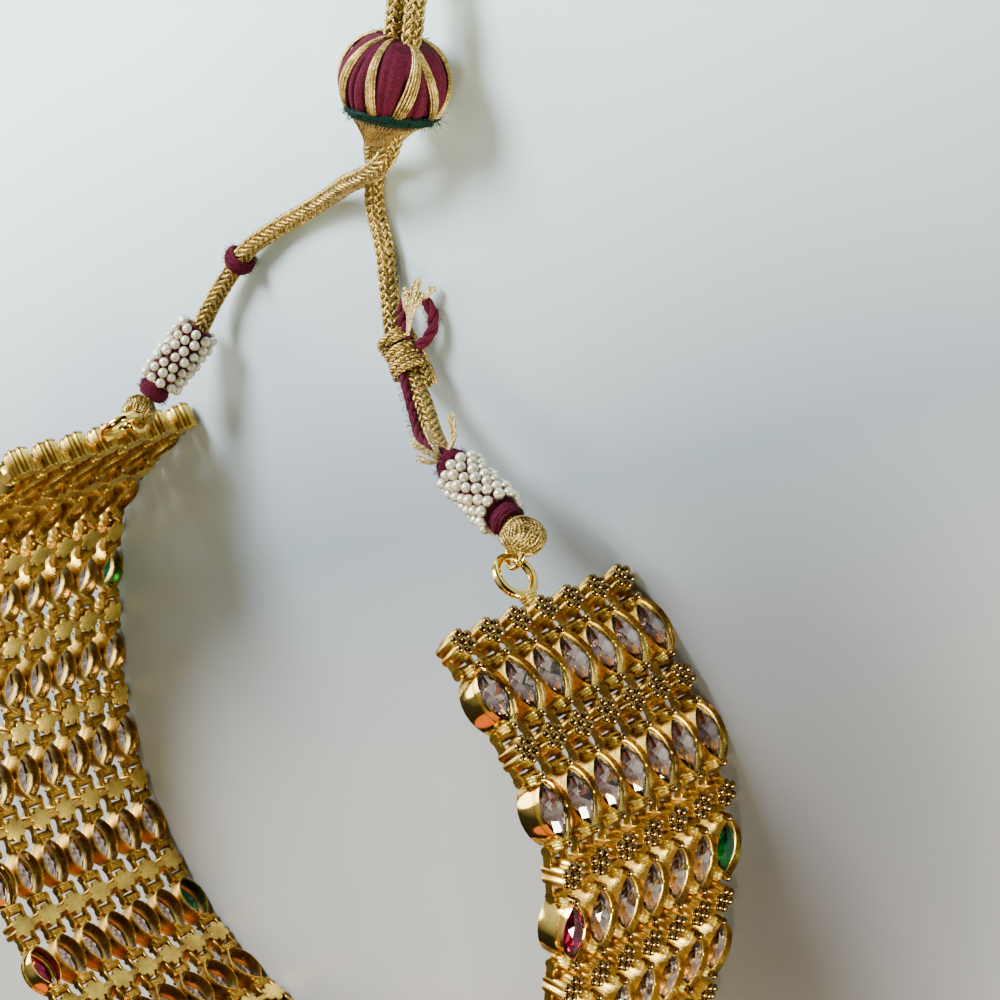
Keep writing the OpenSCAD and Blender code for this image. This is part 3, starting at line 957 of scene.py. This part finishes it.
# %% [markdown]
# ## Braiding the cords
# Eight threads wind each way round a plain core, so the cord has sixteen. The crossing threads
# leave small dark gaps, which is where the braid gets its grain.

# %% Cords
CORD_STEP = 0.22
CORD_CORE = 0.85
THREADS_EACH_WAY = 8
THREAD_RADIUS = 0.26
# How far a thread rises and sinks as it crosses others, and the length of one turn of it.
THREAD_RISE = 0.17
THREAD_PITCH = 8.6


def make_cord(name, route, node):
    line = smooth_line(route, CORD_STEP)
    threads = braid(line, CORD_CORE, THREAD_RISE, THREAD_PITCH, THREADS_EACH_WAY)
    cover = thread_object(name, threads, THREAD_RADIUS)
    core = thread_object(name + "_core", [line[::3] + [line[-1]]], CORD_CORE, 10)
    return finish_piece(join(name, [cover, core]), ZARI, "gold_braid", node), line


def line_length(line):
    return sum((b - a).length for a, b in zip(line, line[1:]))


cord_right, right_line = make_cord("braided_cord_right", RIGHT_ROUTE, "cord_right")
cord_left, left_line = make_cord("braided_cord_left", LEFT_ROUTE, "cord_left")
print("cord lengths in mm:", round(line_length(right_line)), round(line_length(left_line)))

# %% [markdown]
# ## Pieces on the cords
# A piece on a cord is modelled upright round the Z axis, then turned so that Z runs along the cord.
# Wraps are several turns of silk, with a fuzz of short fibres that catches the light at the
# outline.

# %% Wraps
WRAP_RADIUS = 2.1
WRAP_LENGTH = 2.2
WRAP_TURNS = 5.5
SILK_RADIUS = 0.27


def round_z(out, turn, height):
    """A point at a distance out from Z, a turn round it and a height."""
    return Vector((out * math.cos(turn), out * math.sin(turn), height))


def on_cord(route, i, share):
    """Turns Z along a cord, at a share of the way from one route point to the next."""
    way = route[i + 1] - route[i]
    turn = way.to_track_quat("Z", "Y").to_matrix().to_4x4()
    return Matrix.Translation(route[i] + share * way) @ turn


def helix(radius, low, high, turns, start=0.0, points=22, wobble=0.0):
    """A line round Z, whose radius is a number or a function of the share of its height."""
    count = max(2, int(points * turns))
    found = []
    for i in range(count + 1):
        share = i / count
        turn = start + 2 * math.pi * turns * share
        out = radius(share) if callable(radius) else radius
        out += wobble * noise.noise(round_z(1, turn, 7 * share + start) * 1.7)
        found.append(round_z(out, turn, low + (high - low) * share))
    return found


def random_way(reach=1.0):
    return Vector([random.uniform(-reach, reach) for _ in range(3)])


def fuzz(radius, low, high, count, length):
    """Short curved fibres that stand out from a round piece."""
    found = []
    for _ in range(count):
        turn = random.uniform(0, 2 * math.pi)
        foot = round_z(radius, turn, random.uniform(low, high))
        away = round_z(1, turn, random.uniform(-0.8, 0.8))
        bend = random_way()
        size = length * random.uniform(0.4, 1.0)
        found.append([foot, foot + 0.5 * size * away, foot + size * away + 0.45 * size * bend])
    return found


def place_object(made, matrix):
    """Moves a piece that was modelled round the Z axis."""
    made.data.transform(matrix)
    return made


def barrel(share):
    """Radius of a wrap's outer turns, which are lower toward its ends."""
    return WRAP_RADIUS - 0.28 - 0.5 * (2 * share - 1) ** 4


def make_wrap(name, node, place):
    half = WRAP_LENGTH / 2 - 0.25
    outer = helix(barrel, -half, half, WRAP_TURNS, wobble=0.2)
    inner = helix(WRAP_RADIUS - 0.62, -half, half, WRAP_TURNS, start=1.0)
    turns = thread_object(name, [outer, inner], SILK_RADIUS)
    fibres = fuzz(WRAP_RADIUS - 0.2, -half, half, 170, 0.6)
    piece = join(name, [turns, thread_object(name + "_fuzz", fibres, 0.026, 4)])
    return finish_piece(place_object(piece, place), MAROON, "maroon_silk", node)


wraps_right = [
    make_wrap("silk_wrap_lower_right", "lower_wrap_right", on_cord(RIGHT_ROUTE, 1, 0.0)),
    make_wrap("silk_wrap_upper_right", "upper_wrap_right", on_cord(RIGHT_ROUTE, 3, 0.0)),
]
wraps_left = [
    make_wrap("silk_wrap_lower_left", "lower_wrap_left", on_cord(LEFT_ROUTE, 1, 0.0)),
    make_wrap("silk_wrap_upper_left", "upper_wrap_left", on_cord(LEFT_ROUTE, 5, 0.5)),
]
print("wraps:", len(wraps_right) + len(wraps_left))

# %% [markdown]
# ## Pearl sleeves
# Seed pearls are strung on a thread that winds round the cord, each turn a little off the one
# before, so that the rows lean. A dark silk lining fills the gaps between them.

# %% Pearl sleeves
PEARL_ROWS = 7
PEARLS_IN_ROW = 11
SLEEVE_RADIUS = 2.55
SLEEVE_LENGTH = 8.0
LINING_RADIUS = 2.0
LINING_HALF = 4.5


def make_sleeve(name, node, place):
    bm = bmesh.new()
    for row in range(PEARL_ROWS):
        for i in range(PEARLS_IN_ROW):
            turn = 2 * math.pi * (i + 0.5 * row + 0.12 * random.uniform(-1, 1)) / PEARLS_IN_ROW
            out = SLEEVE_RADIUS + random.uniform(-0.08, 0.08)
            height = -SLEEVE_LENGTH / 2 + SLEEVE_LENGTH * row / (PEARL_ROWS - 1)
            height += 0.5 * (i / PEARLS_IN_ROW - 0.5)
            height += random.uniform(-0.1, 0.1)
            size = random.uniform(0.60, 0.70)
            spot = Matrix.Translation(round_z(out, turn, height))
            bmesh.ops.create_uvsphere(bm, u_segments=14, v_segments=9, radius=size, matrix=spot)
    pearls = place_object(new_object(name, to_mesh(name, bm)), place)
    finish_piece(pearls, PEARL, "seed_pearl", node)
    middle_line = [Vector((0, 0, z)) for z in (-LINING_HALF, 0, LINING_HALF)]
    lining = thread_object(name + "_lining", [middle_line], LINING_RADIUS, 16)
    return pearls, finish_piece(place_object(lining, place), MAROON, "maroon_silk")


sleeve_right = make_sleeve("pearls_right", "pearl_sleeve_right", on_cord(RIGHT_ROUTE, 2, 0.0))
sleeve_left = make_sleeve("pearls_left", "pearl_sleeve_left", on_cord(LEFT_ROUTE, 2, 0.0))
print("pearls in a sleeve:", PEARL_ROWS * PEARLS_IN_ROW)

# %% [markdown]
# ## Wound balls
# The cord starts in a ball of zari thread that is wound over the jump ring. Bands of parallel
# threads lie round a sphere like great circles, each band in its own direction and a little further
# out than the last. The knot at the cords' far end is wound in the same way.

# %% Wound balls
END_KNOT = Vector((5.95, 123.0, 3.3))


def wound_ball(radius, bands, in_band, thread):
    """Bands of threads round a sphere. Fixed angles step each band's axis round from the last."""
    found = []
    for band in range(bands):
        axis = Vector((math.sin(2.4 * band + 0.3), math.cos(2.4 * band), math.cos(1.1 * band + 0.5)))
        turn = axis.normalized().to_track_quat("Z", "Y").to_matrix()
        out = radius - thread - 0.6 * (bands - 1 - band) / bands
        for i in range(in_band):
            height = (i - (in_band - 1) / 2) * 3.4 * thread + 0.9 * math.sin(1.7 * band)
            ring = math.sqrt(out**2 - height**2)
            points = []
            for n in range(41):
                way = 2 * math.pi * n / 40
                shake = 0.3 * math.sin(3 * way + band)
                points.append(turn @ round_z(ring, way, height + shake))
            found.append(points)
    return found


def make_ball(name, node, centre, radius, bands, in_band, thread, stretch=0.0):
    """A wound ball, which may be wider along the picture's right."""
    ball = thread_object(name, wound_ball(radius, bands, in_band, thread), thread, 6)
    bm = bmesh.new()
    bmesh.ops.create_icosphere(bm, subdivisions=3, radius=radius - 3 * thread - 0.35)
    core = new_object(name + "_core", to_mesh(name + "_core", bm))
    wide = Matrix.Scale(1 + stretch, 4, IMAGE_RIGHT)
    piece = place_object(join(name, [ball, core]), Matrix.Translation(centre) @ wide)
    return finish_piece(piece, ZARI, "gold_braid", node)


ball_right = make_ball("wound_ball_right", "thread_loop_right", BALL_RIGHT, 2.3, 26, 3, 0.1, 0.2)
ball_left = make_ball("wound_ball_left", "thread_loop_left", BALL_LEFT, 2.2, 26, 3, 0.1, 0.1)
end_ball = make_ball("end_knot_wound", "end_knot", END_KNOT, 3.2, 14, 4, 0.26)
balls = (ball_right, ball_left, end_ball)
print("faces of the wound balls:", [len(ball.data.polygons) for ball in balls])

# %% [markdown]
# ## Thick braid and gold knot
# Part of the left cord is sleeved in a thicker braid. On the right cord a twisted braid is tied
# round in four tight turns and a loose one, and a short lobe of braid lies beside it.

# %% Thick braid and knot
THICK_BRAID_HALF = 3.2
KNOT = RIGHT_ROUTE[7].lerp(RIGHT_ROUTE[8], 0.5)


def make_thick_braid():
    line = even_line([Vector((0, 0, -THICK_BRAID_HALF)), Vector((0, 0, THICK_BRAID_HALF))], 0.2)
    made = thread_object("thick_braid", braid(line, 1.42, 0.16, 13, 8), 0.32)
    piece = place_object(made, on_cord(LEFT_ROUTE, 4, 0.5))
    return finish_piece(piece, ZARI, "gold_braid", "thick_braid_left")


def knot_radius(share):
    return 1.75 + 0.12 * math.sin(8 * share)


def make_gold_knot():
    tight = helix(knot_radius, -2.5, 1.2, 4.1, start=0.6, points=30, wobble=0.15)
    loose = helix(2.05, 1.6, 2.4, 1.3, start=2.0, points=30, wobble=0.2)
    turns = plied(even_line(tight, 0.16), 0.28, 2.6, 4) + plied(even_line(loose, 0.16), 0.28, 2.6, 4)
    knot = place_object(thread_object("gold_knot", turns, 0.25), on_cord(RIGHT_ROUTE, 7, 0.5))
    way = (RIGHT_ROUTE[8] - RIGHT_ROUTE[7]).normalized()
    start = KNOT + 2.5 * IMAGE_RIGHT - 0.6 * IMAGE_UP
    start.z = 2.4
    lobe_line = smooth_line([start + 1.4 * way, start - 0.6 * way, start - 3.2 * way], 0.2)
    lobe = thread_object("gold_knot_lobe", braid(lobe_line, 0.75, 0.15, 6, 6), 0.27)
    return finish_piece(join("gold_knot", [knot, lobe]), ZARI, "gold_braid", "gold_knot_right")


thick_braid = make_thick_braid()
gold_knot = make_gold_knot()
print("faces of the knot:", len(gold_knot.data.polygons))

# %% [markdown]
# ## Slider bead
# The slider is a stuffed silk bead. Its body is a profile spun round the cords and pinched into
# soft folds. Ten bundles of zari thread run over it from the upper rim down to the lower binding,
# close together at both ends and spread at the middle. Green silk binds both rims. The lower
# binding is a thick, loose and fuzzy ring that sits a little up the side the camera sees, and a fan
# of thread gathers from it round both cords.

# %% Slider bead
BEAD_PLACE = Matrix.Translation(BEAD_CENTRE) @ BEAD_ALONG.to_track_quat("Z", "Y").to_matrix().to_4x4()
BEAD_HALF = 5.2
# Radius of the arc that the body's profile follows, and how far out the arc's centre lies.
BEAD_ARC = 5.55
BEAD_OUT = 0.95
BUNDLES = 10
FAN_THREADS = 72
# Radius of the fan at the bead, its half sizes round the two cords, and how far along it ends.
FAN_START = 5.0
FAN_ACROSS = 2.8
FAN_DEEP = 1.55
FAN_END = 7.3
BINDING_LAYERS = 7
RING_POINTS = 49
CAMERA_WAY = BEAD_PLACE.to_3x3().inverted() @ IMAGE_RIGHT.cross(IMAGE_UP)
CAMERA_TURN = math.atan2(CAMERA_WAY.y, CAMERA_WAY.x)


def bead_radius(along):
    """Radius of the silk body at a distance along the bead."""
    return BEAD_OUT + math.sqrt(BEAD_ARC**2 - along**2)


def rim_height(turn):
    """How far along the bead its lower binding sits, a little up the side the camera sees."""
    return -4.0 + 1.1 * math.cos(turn - CAMERA_TURN - 0.5)


def bead_body():
    bm = bmesh.new()
    profile = []
    for i in range(25):
        along = BEAD_HALF * (2 * i / 24 - 1)
        profile.append(bm.verts.new((bead_radius(along), 0, along)))
    edges = [bm.edges.new(pair) for pair in zip(profile, profile[1:])]
    bmesh.ops.spin(
        bm, geom=profile + edges, cent=(0, 0, 0), axis=(0, 0, 1), angle=2 * math.pi, steps=144,
        use_merge=True,
    )
    rims = [e for e in bm.edges if e.is_boundary]
    bmesh.ops.holes_fill(bm, edges=rims, sides=0)
    for v in bm.verts:
        turn = math.atan2(v.co.y, v.co.x)
        fold = abs(math.sin(BUNDLES / 2 * turn)) ** 0.7
        crease = max(0.0, 1 - abs(math.sin(BUNDLES / 2 * turn + math.pi / 2 + 0.2)) / 0.22)
        dent = noise.noise(round_z(2, turn, 0.2 * v.co.z))
        pinch = 0.15 * (1 - fold) + 0.09 * crease + 0.05 * dent
        swell = 1 - pinch * math.cos(0.25 * v.co.z)
        v.co = (v.co.x * swell, v.co.y * swell, v.co.z)
    return new_object("bead_body", to_mesh("bead_body", bm, 80))


def bead_bundles():
    """Bundles of five threads from the lower binding to the upper rim."""
    threads = []
    for bundle in range(BUNDLES):
        middle = 2 * math.pi * bundle / BUNDLES + 0.08 * math.sin(5.1 * bundle)
        sway = 0.20 * (-1) ** bundle + 0.08 * math.sin(2.3 * bundle)
        low = rim_height(middle)
        for off in (-1, -0.5, 0, 0.5, 1):
            line = []
            for n in range(25):
                along = low + (BEAD_HALF - low) * n / 24
                swell = math.cos(math.pi / 2 * along / BEAD_HALF / 1.1)
                out = bead_radius(along) - 0.05 + 0.2 * (1 - off**2)
                spread = 0.16 + (0.46 + 0.12 * math.sin(3.7 * bundle)) * swell
                turn = middle + sway * along / BEAD_HALF + off * spread / out
                line.append(round_z(out, turn, along))
            for out, along in ((2.4, 5.36), (1.6, 5.42), (0.9, 5.3)):
                line.append(round_z(out, middle + sway, along))
            threads.append(line)
    return thread_object("bead_bundles", threads, 0.125)


def bead_fan():
    """Threads that gather from the lower binding round both cords."""
    threads = []
    for i in range(FAN_THREADS):
        turn = 2 * math.pi * i / FAN_THREADS
        line = []
        for n in range(9):
            share = n / 8
            swirl = turn + 0.35 * share + 0.10 * math.sin(7 * i) * share
            along = rim_height(math.pi / 2 - turn) * (1 - share) - FAN_END * share
            out = bead_radius(max(along, -BEAD_HALF)) + 0.05
            least = out if along > -4.9 else 0
            across = max(FAN_START + (FAN_ACROSS - FAN_START) * share**0.8, least)
            deep = max(FAN_START + (FAN_DEEP - FAN_START) * share**0.8, least)
            line.append(Vector((deep * math.sin(swirl), across * math.cos(swirl), along)))
        threads.append(line)
    return thread_object("bead_fan", threads, 0.11)


def binding_ring(layer):
    """One uneven turn of the lower binding."""
    ring = []
    for n in range(RING_POINTS):
        turn = 2 * math.pi * n / (RING_POINTS - 1)
        wave = noise.noise(round_z(2, turn, 5 * layer))
        along = rim_height(turn) + 0.17 * (layer - 3) + 0.5 * wave
        swell = 0.15 * noise.noise(Vector((5 * turn, layer, 2)))
        out = bead_radius(max(along, -BEAD_HALF)) + 0.2 * (layer % 2) + swell
        ring.append(round_z(out, turn, along))
    return ring


def bead_bindings():
    """Green silk round both rims, with fibres that stand out from it."""
    upper = [helix(2.8, 4.9, 5.1, 1.1, wobble=0.3), helix(3.1, 4.7, 4.8, 1.1, start=2, wobble=0.3)]
    lower = [binding_ring(layer) for layer in range(BINDING_LAYERS)]
    bind = thread_object("bead_bindings", upper + lower, 0.22)
    fibres = fuzz(3.2, 4.7, 5.1, 60, 0.8)
    for _ in range(700):
        foot = lower[random.randrange(BINDING_LAYERS)][random.randrange(RING_POINTS)]
        away = Vector((foot.x, foot.y, 8 * random.uniform(-0.9, 0.9))).normalized()
        bend = random_way(0.7)
        size = random.uniform(0.3, 0.9)
        fibres.append([foot, foot + 0.5 * size * away, foot + size * (away + bend)])
    return join("bead_bindings", [bind, thread_object("binding_fuzz", fibres, 0.03, 4)])


bead = finish_piece(place_object(bead_body(), BEAD_PLACE), MAROON, "maroon_silk", "slider_bead")
gold_on_bead = join("bead_bundles", [bead_bundles(), bead_fan()])
bundles = finish_piece(place_object(gold_on_bead, BEAD_PLACE), ZARI_BRIGHT, "gold_braid")
bindings = finish_piece(place_object(bead_bindings(), BEAD_PLACE), GREEN, "maroon_silk")
print("slider bead in mm:", 2 * BEAD_HALF, "long and", 2 * (BEAD_OUT + BEAD_ARC), "wide")

# %% [markdown]
# ## Loose threads
# Frayed gold threads and yarn ends stick out beside the knot and the upper wrap. Each is placed by
# its distance to the right, up and toward the camera from a point of the cord, and none sinks into
# the table.

# %% Loose threads
WRAP = RIGHT_ROUTE[3]
# Each tuft's point, its way as steps right, up and toward the camera, its number of threads, its
# spread and its crinkle.
TUFTS = (
    (KNOT, ((0.7, 2.4, 1.4), (1.0, 5.2, 2.2), (2.0, 8.9, 3.6)), 20, 0.5, 0.16),
    (KNOT, ((1.0, 4.4, 2.0), (2.2, 6.4, 2.8), (4.3, 8.3, 3.4)), 17, 0.46, 0.16),
    (KNOT, ((0.9, 4.2, 1.8), (0.5, 6.2, 2.4), (0.7, 7.9, 3.0)), 12, 0.4, 0.16),
    (WRAP, ((-1.4, 0.9, 0.8), (-3.1, 1.7, 1), (-5.0, 3.0, 1)), 15, 0.55, 0.22),
    (WRAP, ((-1.4, 1.0, 0.8), (-2.4, 2.6, 1), (-3.1, 4.6, 1)), 10, 0.45, 0.22),
    (WRAP, ((-1.5, 0.4, 0.8), (-3.0, 0.4, 1), (-4.4, 1.0, 1)), 10, 0.5, 0.22),
    (WRAP, ((-0.6, 1.4, 0.6), (0.1, 3.4, 1), (-0.3, 6.2, 1)), 14, 0.45, 0.22),
)
# Steps of the maroon loop beside the knot, and of the yarn along the cord from the wrap to the knot.
LOOP_STEPS = (
    (0.6, 1.6, 0.6), (0.1, 4.6, 1.0), (0.6, 6.8, 1.6), (2.4, 6.7, 2.4), (3.7, 5.0, 2.6),
    (3.6, 2.8, 2.2), (2.0, 0.9, 1.2),
)
SIDE_STEPS = (
    (-0.5, 1.4, 0.6), (-1.0, 0.9, 0.6), (-1.5, -0.1, 0.5), (-1.5, -0.2, 0.5), (-1.0, 0.0, 0.8),
)
YARN_STEP = 0.2


def beside(point, right, up, toward):
    """A point so many millimetres right, up and toward the camera from another."""
    back = IMAGE_RIGHT.cross(IMAGE_UP)
    found = Vector(point) + right * IMAGE_RIGHT + up * IMAGE_UP + toward * back
    found.z = max(found.z, 0.3)
    return found


def tuft(route, count, spread, crinkle):
    """Crinkled threads that leave a point together and part toward the end of a route."""
    line = smooth_line(route, 0.12)
    found = []
    for i in range(count):
        away = random_way()
        cut = random.uniform(0.75, 1.0)
        thread = []
        for n, point in enumerate(line[: int(cut * len(line))]):
            share = n / len(line)
            shake = noise.noise_vector(Vector((0.5 * n, 5.3 * i, 0.4)))
            parted = point + (0.25 + 0.75 * share) * spread * away
            moved = parted + crinkle * (0.4 + share) * shake
            moved.z = max(moved.z, 0.2)
            thread.append(moved)
        found.append(thread)
    return found


def yarn_fibres(line):
    """Three short fibres round each point of a yarn."""
    hang = Vector((0.3, -0.6, 0.5))
    found = []
    for point in line:
        for away in [random_way().normalized() for _ in range(3)]:
            end = point + 1.1 * away + 0.3 * hang
            found.append([point + 0.45 * away, point + 0.9 * away, end])
    return found


def make_frays():
    frays = []
    for point, steps, count, spread, crinkle in TUFTS:
        frays += tuft([beside(point, *step) for step in steps], count, spread, crinkle)
    return finish_piece(thread_object("frayed_ends", frays, 0.12), ZARI_PALE, "gold_braid")


def make_yarns():
    loop_line = smooth_line([beside(KNOT, *step) for step in LOOP_STEPS], YARN_STEP)
    along = [beside(point, *step) for point, step in zip(RIGHT_ROUTE[3:], SIDE_STEPS)]
    side_line = smooth_line(along, YARN_STEP)
    threads = plied(loop_line, 0.36, 5, 3) + plied(side_line, 0.22, 5, 3)
    yarns = thread_object("maroon_yarn", threads, 0.38)
    fibres = thread_object("yarn_fuzz", yarn_fibres(loop_line + side_line), 0.03, 4)
    return finish_piece(join("maroon_yarn", [yarns, fibres]), MAROON, "maroon_silk")


fray_piece = make_frays()
yarn_piece = make_yarns()
print("frayed threads:", sum(row[2] for row in TUFTS))

# %% [markdown]
# ## Wire that stays as packed
# The jump rings are plain round wire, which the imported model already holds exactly. They only need
# their finish.

# %% Jump rings
for name in ("jump_ring_right", "jump_ring_left"):
    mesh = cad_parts[name].data
    mesh.materials.clear()
    mesh.materials.append(POLISHED)
    mesh.shade_smooth()
    print(name, "is", mesh.materials[0].name)

# %% [markdown]
# ## What the cords are
# Each cord's pieces are gathered in a list, and their number is printed.


def declare(piece, pieces):
    print(piece.name, "carries", len(pieces), "pieces")


on_right = [ball_right, *wraps_right, *sleeve_right, gold_knot, fray_piece, yarn_piece]
on_left = [ball_left, *wraps_left, *sleeve_left, thick_braid, bead, bundles, bindings, end_ball]
declare(cord_right, on_right)
declare(cord_left, on_left)

# %% [markdown]
# ## Table
# The necklace lies on a pale table. Its colour holds painted light that falls off: bluish and bright
# toward the end of the cords and greyer toward the band. A painted soft shade lies outside the right
# side of the band. It is a sphere gradient, stretched flat, that multiplies the table's colour.

# %% Table
# In metres.
TABLE_HALF = 1.5
# Change of the table's painted light falloff for each millimetre along X and Y, and its value at the
# origin.
FALLOFF_SLOPE = (-0.0028, 0.0056, 0)
FALLOFF_START = 0.25
# Middle and reach of the shade, in millimetres.
SHADE_MIDDLE = (66, 10)
SHADE_REACH = (55, 85)


# Painted light falling off over the table, as a colour ramp over the tone.
def table_light_falloff(tree):
    slope = add_node(tree, "VectorMath", {0: place_on(tree)}, operation="DOT_PRODUCT")
    slope.inputs[1].default_value = FALLOFF_SLOPE
    tone = add_node(tree, "Math", {0: slope.outputs["Value"]}, operation="ADD")
    tone.inputs[1].default_value = FALLOFF_START
    return ramp(
        tree, tone.outputs["Value"], (0.0, (0.41, 0.40, 0.385)), (0.25, (0.365, 0.36, 0.355)),
        (0.45, (0.25, 0.30, 0.34)), (0.62, (0.43, 0.50, 0.55)), (0.9, (0.76, 0.96, 0.98)),
    )


# Painted shade on the table, outside the band's right side.
def table_shade(tree):
    shift = [-middle / reach for middle, reach in zip(SHADE_MIDDLE, SHADE_REACH)]
    flat = add_node(tree, "Mapping", {"Vector": place_on(tree)})
    flat.inputs["Location"].default_value = (*shift, 0)
    flat.inputs["Scale"].default_value = (1 / SHADE_REACH[0], 1 / SHADE_REACH[1], 1)
    near = add_node(
        tree, "TexGradient", {"Vector": flat.outputs["Vector"]}, gradient_type="SPHERICAL"
    )
    return ramp(
        tree, near.outputs["Fac"], (0.0, (1, 1, 1)), (0.3, (0.85, 0.85, 0.87)),
        (0.6, (0.50, 0.50, 0.54)), (0.9, (0.33, 0.33, 0.37)),
    )


def make_table():
    bm = bmesh.new()
    bmesh.ops.create_grid(bm, x_segments=1, y_segments=1, size=TABLE_HALF)
    table = new_object("table", to_mesh("table", bm))
    material, tree, shader = new_finish("pale_table", Roughness=0.42)
    shaded = add_node(
        tree, "VectorMath", {0: table_light_falloff(tree), 1: table_shade(tree)}, operation="MULTIPLY"
    )
    tree.links.new(shaded.outputs["Vector"], shader.inputs["Base Color"])
    table.data.materials.append(material)


make_table()
print("table width in m:", 2 * TABLE_HALF)

# %% [markdown]
# ## Light
# A window above the far left gives the soft shadows, and a soft wall fills them from the left. A
# warm wall at the near end puts orange into the polished gold. A small lamp low at the right and a
# small ceiling lamp give the sparks. The room is bright overhead and dark low down, so that gold
# shows light and dark beside each other.

# %% Light
# Place and target in metres, size in metres, power in watts, and colour.
LIGHTS = {
    "window": ((-0.22, 0.33, 0.32), (-0.02, 0.06, 0), 0.22, 7.2, (0.92, 0.97, 1.0)),
    "soft_wall": ((-0.56, 0.0, 0.25), (0, 0.0, 0.01), 0.34, 2.6, (1.0, 0.97, 0.86)),
    "warm_wall": ((-0.14, -0.52, 0.28), (0, 0.0, 0.01), 0.30, 0.28, (1.0, 0.25, 0.06)),
    "lamp": ((0.36, -0.07, 0.08), (0.04, 0.0, 0.02), 0.09, 3.0, (1.0, 0.94, 0.66)),
    "ceiling": ((0.19, -0.145, 0.47), (0.04, 0.02, 0.02), 0.13, 1.1, (1.0, 0.92, 0.55)),
}
# The direction in which the room is brightest, and the strength of its light.
BRIGHT_WAY = Vector((-0.5, 0.45, 0.74)).normalized()
ROOM_STRENGTH = 0.8


def area_light(name, place, target, size, power, colour):
    data = bpy.data.lights.new(name, "AREA")
    data.shape = "DISK"
    data.size = size
    data.energy = power
    data.color = colour
    light = bpy.data.objects.new(name, data)
    bpy.context.scene.collection.objects.link(light)
    place = Vector(place)
    turn = (place - Vector(target)).to_track_quat("Z", "Y").to_matrix().to_4x4()
    light.matrix_world = Matrix.Translation(place) @ turn


def soft_room():
    world = bpy.data.worlds.new("room")
    world.use_nodes = True
    tree = world.node_tree
    way = add_node(tree, "TexCoord").outputs["Generated"]
    toward = add_node(tree, "VectorMath", {0: way}, operation="DOT_PRODUCT")
    toward.inputs[1].default_value = BRIGHT_WAY
    sky = ramp(
        tree, toward.outputs["Value"], (0.0, (0.022, 0.019, 0.016)), (0.5, (0.055, 0.05, 0.045)),
        (0.75, (0.55, 0.56, 0.56)), (0.95, (1.1, 1.1, 1.08)),
    )
    tree.links.new(sky, tree.nodes["Background"].inputs["Color"])
    tree.nodes["Background"].inputs["Strength"].default_value = ROOM_STRENGTH
    bpy.context.scene.world = world


for name, values in LIGHTS.items():
    area_light(name, *values)
soft_room()
print("lights:", list(LIGHTS))
